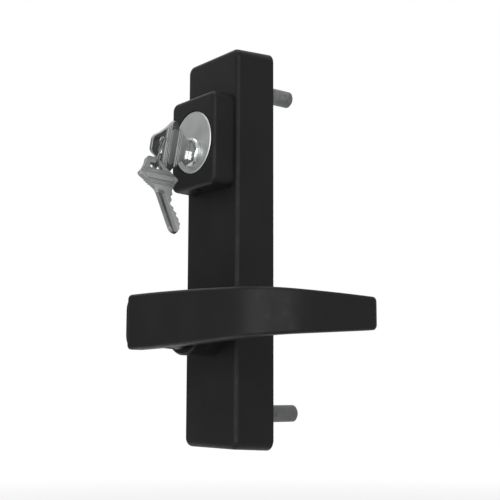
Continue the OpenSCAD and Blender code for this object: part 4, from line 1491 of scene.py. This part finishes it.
def stand(name: str, data: bpy.types.ID, place: Point, aim: Point) -> bpy.types.Object:
    """Puts a lamp or a card in the room.

    Args:
        name: The object's name.
        data: Its lamp or mesh.
        place: Where it stands.
        aim: What it points at.

    Returns:
        The object.
    """
    item = bpy.data.objects.new(name, data)
    item.location = place
    item.rotation_mode = "QUATERNION"
    item.rotation_quaternion = (Vector(aim) - Vector(place)).to_track_quat("-Z", "Y")
    bpy.context.scene.collection.objects.link(item)
    return item


def sheet(name: str, size: Span, height: float = 0.0) -> bpy.types.Mesh:
    """Makes a flat rectangle.

    Args:
        name: The mesh's name.
        size: Its width and depth.
        height: Its height in its own frame.

    Returns:
        The mesh.
    """
    x, y = size[0] / 2, size[1] / 2
    mesh = bpy.data.meshes.new(name)
    corners = [(-x, -y, height), (x, -y, height), (x, y, height), (-x, y, height)]
    mesh.from_pydata(corners, [], [(0, 1, 2, 3)])
    return mesh


@dataclass(frozen=True)
class SoftBox:
    """A lamp with a rectangular front."""

    name: str
    place: Point
    size: Span
    power: float

    def build(self, aim: Point) -> None:
        """Adds the lamp.

        Args:
            aim: What it points at.
        """
        data = bpy.data.lights.new(self.name, "AREA")
        data.shape = "RECTANGLE"
        data.size, data.size_y = self.size
        data.energy = self.power
        stand(self.name, data, self.place, aim)


@dataclass(frozen=True)
class Card:
    """A card that only shows in reflections."""

    name: str
    place: Point
    size: Span
    tone: float

    def build(self) -> None:
        """Hangs the card so that it faces the object."""
        item = stand(self.name, sheet(self.name, self.size), self.place, (0.0, 0.0, 0.0))
        item.visible_camera = item.visible_diffuse = item.visible_shadow = item.visible_transmission = False
        graph = new_graph(self.name)
        glow = graph.add("ShaderNodeEmission", None, {"Color": rgba(1.0), "Strength": self.tone})
        graph.add("ShaderNodeOutputMaterial", None, {"Surface": glow})
        dress(item, graph.owner)


@dataclass
class Studio:
    """Camera, lamps, cards, world and floor."""

    eye: Point = (0.37256, -0.28780, -0.06553)
    right: Point = (0.61538838, 0.7882199, 0.00255592)
    up: Point = (0.10617489, -0.08610633, 0.99061223)
    lens_mm: float = 72.61
    sensor_mm: float = 36.0
    clip: Span = (0.01, 50.0)
    aim: Point = (0.0, -0.02, 0.0)
    boxes: tuple[SoftBox, ...] = (
        SoftBox("front_box", (0.20, -1.42, 0.15), (1.5, 1.0), 13.6),
        SoftBox("right_box", (1.27, -0.70, 0.15), (0.85, 1.0), 7.2),
        SoftBox("top_box", (0.1, -0.25, 1.3), (0.8, 0.6), 4.0))
    cards: tuple[Card, ...] = (
        Card("left_flag", (-0.95, -0.05, -0.04), (2.0, 0.77), 0.21),
        Card("left_card", (-0.42, -0.73, 0.28), (0.62, 0.32), 0.03),
        Card("right_card", (0.12, -0.84, 0.28), (0.56, 0.28), 0.03))
    world_light: float = 0.4
    floor_drop: float = 0.16
    floor_size: Span = (12.0, 12.0)
    floor_matt: float = 0.82
    floor_glow: float = 0.68
    near_glow: float = 0.6
    glow_span: Span = (0.3, 4.0)

    def camera(self) -> None:
        """Places the camera of the photograph."""
        data = bpy.data.cameras.new("camera")
        data.sensor_width = self.sensor_mm
        data.lens = self.lens_mm
        data.clip_start, data.clip_end = self.clip
        right, up = Vector(self.right).normalized(), Vector(self.up).normalized()
        back = right.cross(up).normalized()
        item = bpy.data.objects.new("camera", data)
        stance = Matrix((right, up, back)).transposed().to_4x4()
        item.matrix_world = Matrix.Translation(self.eye) @ stance
        bpy.context.scene.collection.objects.link(item)
        bpy.context.scene.camera = item

    def world(self) -> None:
        """Makes the world: white where it is seen, soft grey where it only lights."""
        world = bpy.data.worlds.new("studio")
        bpy.context.scene.world = world
        graph = Graph(world)
        light = graph.add("ShaderNodeBackground", None, {0: rgba(1.0), 1: self.world_light})
        white = graph.add("ShaderNodeBackground", None, {0: rgba(1.0), 1: 1.0})
        choice = graph.add("ShaderNodeMixShader", None, {0: graph.seen(), 1: light, 2: white})
        graph.add("ShaderNodeOutputWorld", None, {0: choice})

    def floor(self) -> None:
        """Lays the white floor under the object."""
        low = CAD_BOX[0][2] - self.floor_drop
        item = bpy.data.objects.new("floor", sheet("floor", self.floor_size, low))
        bpy.context.scene.collection.objects.link(item)
        graph = new_graph("white_floor")
        matt = graph.add("ShaderNodeBsdfDiffuse", None, {"Color": rgba(self.floor_matt)})
        x, y, _ = graph.axes(graph.place())
        far = (x * x + y * y).step(*self.glow_span)
        white = graph.mix(far, rgba(self.near_glow), rgba(1.0))
        glow = graph.add("ShaderNodeEmission", None, {"Color": white, "Strength": self.floor_glow})
        both = graph.add("ShaderNodeAddShader", None, {0: matt, 1: glow})
        shader = graph.add("ShaderNodeMixShader", None, {0: graph.seen(), 1: matt, 2: both})
        graph.add("ShaderNodeOutputMaterial", None, {"Surface": shader})
        dress(item, graph.owner)

    def build(self) -> None:
        """Sets up the studio."""
        bpy.context.scene.view_settings.view_transform = "Standard"
        self.camera()
        for box in self.boxes:
            box.build(self.aim)
        self.world()
        self.floor()
        for card in self.cards:
            card.build()
        LOG.info("studio: camera, %d lamps, %d cards, world and floor", len(self.boxes), len(self.cards))


def main() -> None:
    """Builds the whole scene."""
    logging.basicConfig(level=logging.INFO, format="%(name)s %(message)s")
    shop = PaintShop()
    for assembly in (Escutcheon, CylinderBlock, Cylinder, KeySet, Lever, Slides, Posts):
        assembly(shop).build()
    Studio().build()


if __name__ == "__main__":
    main()
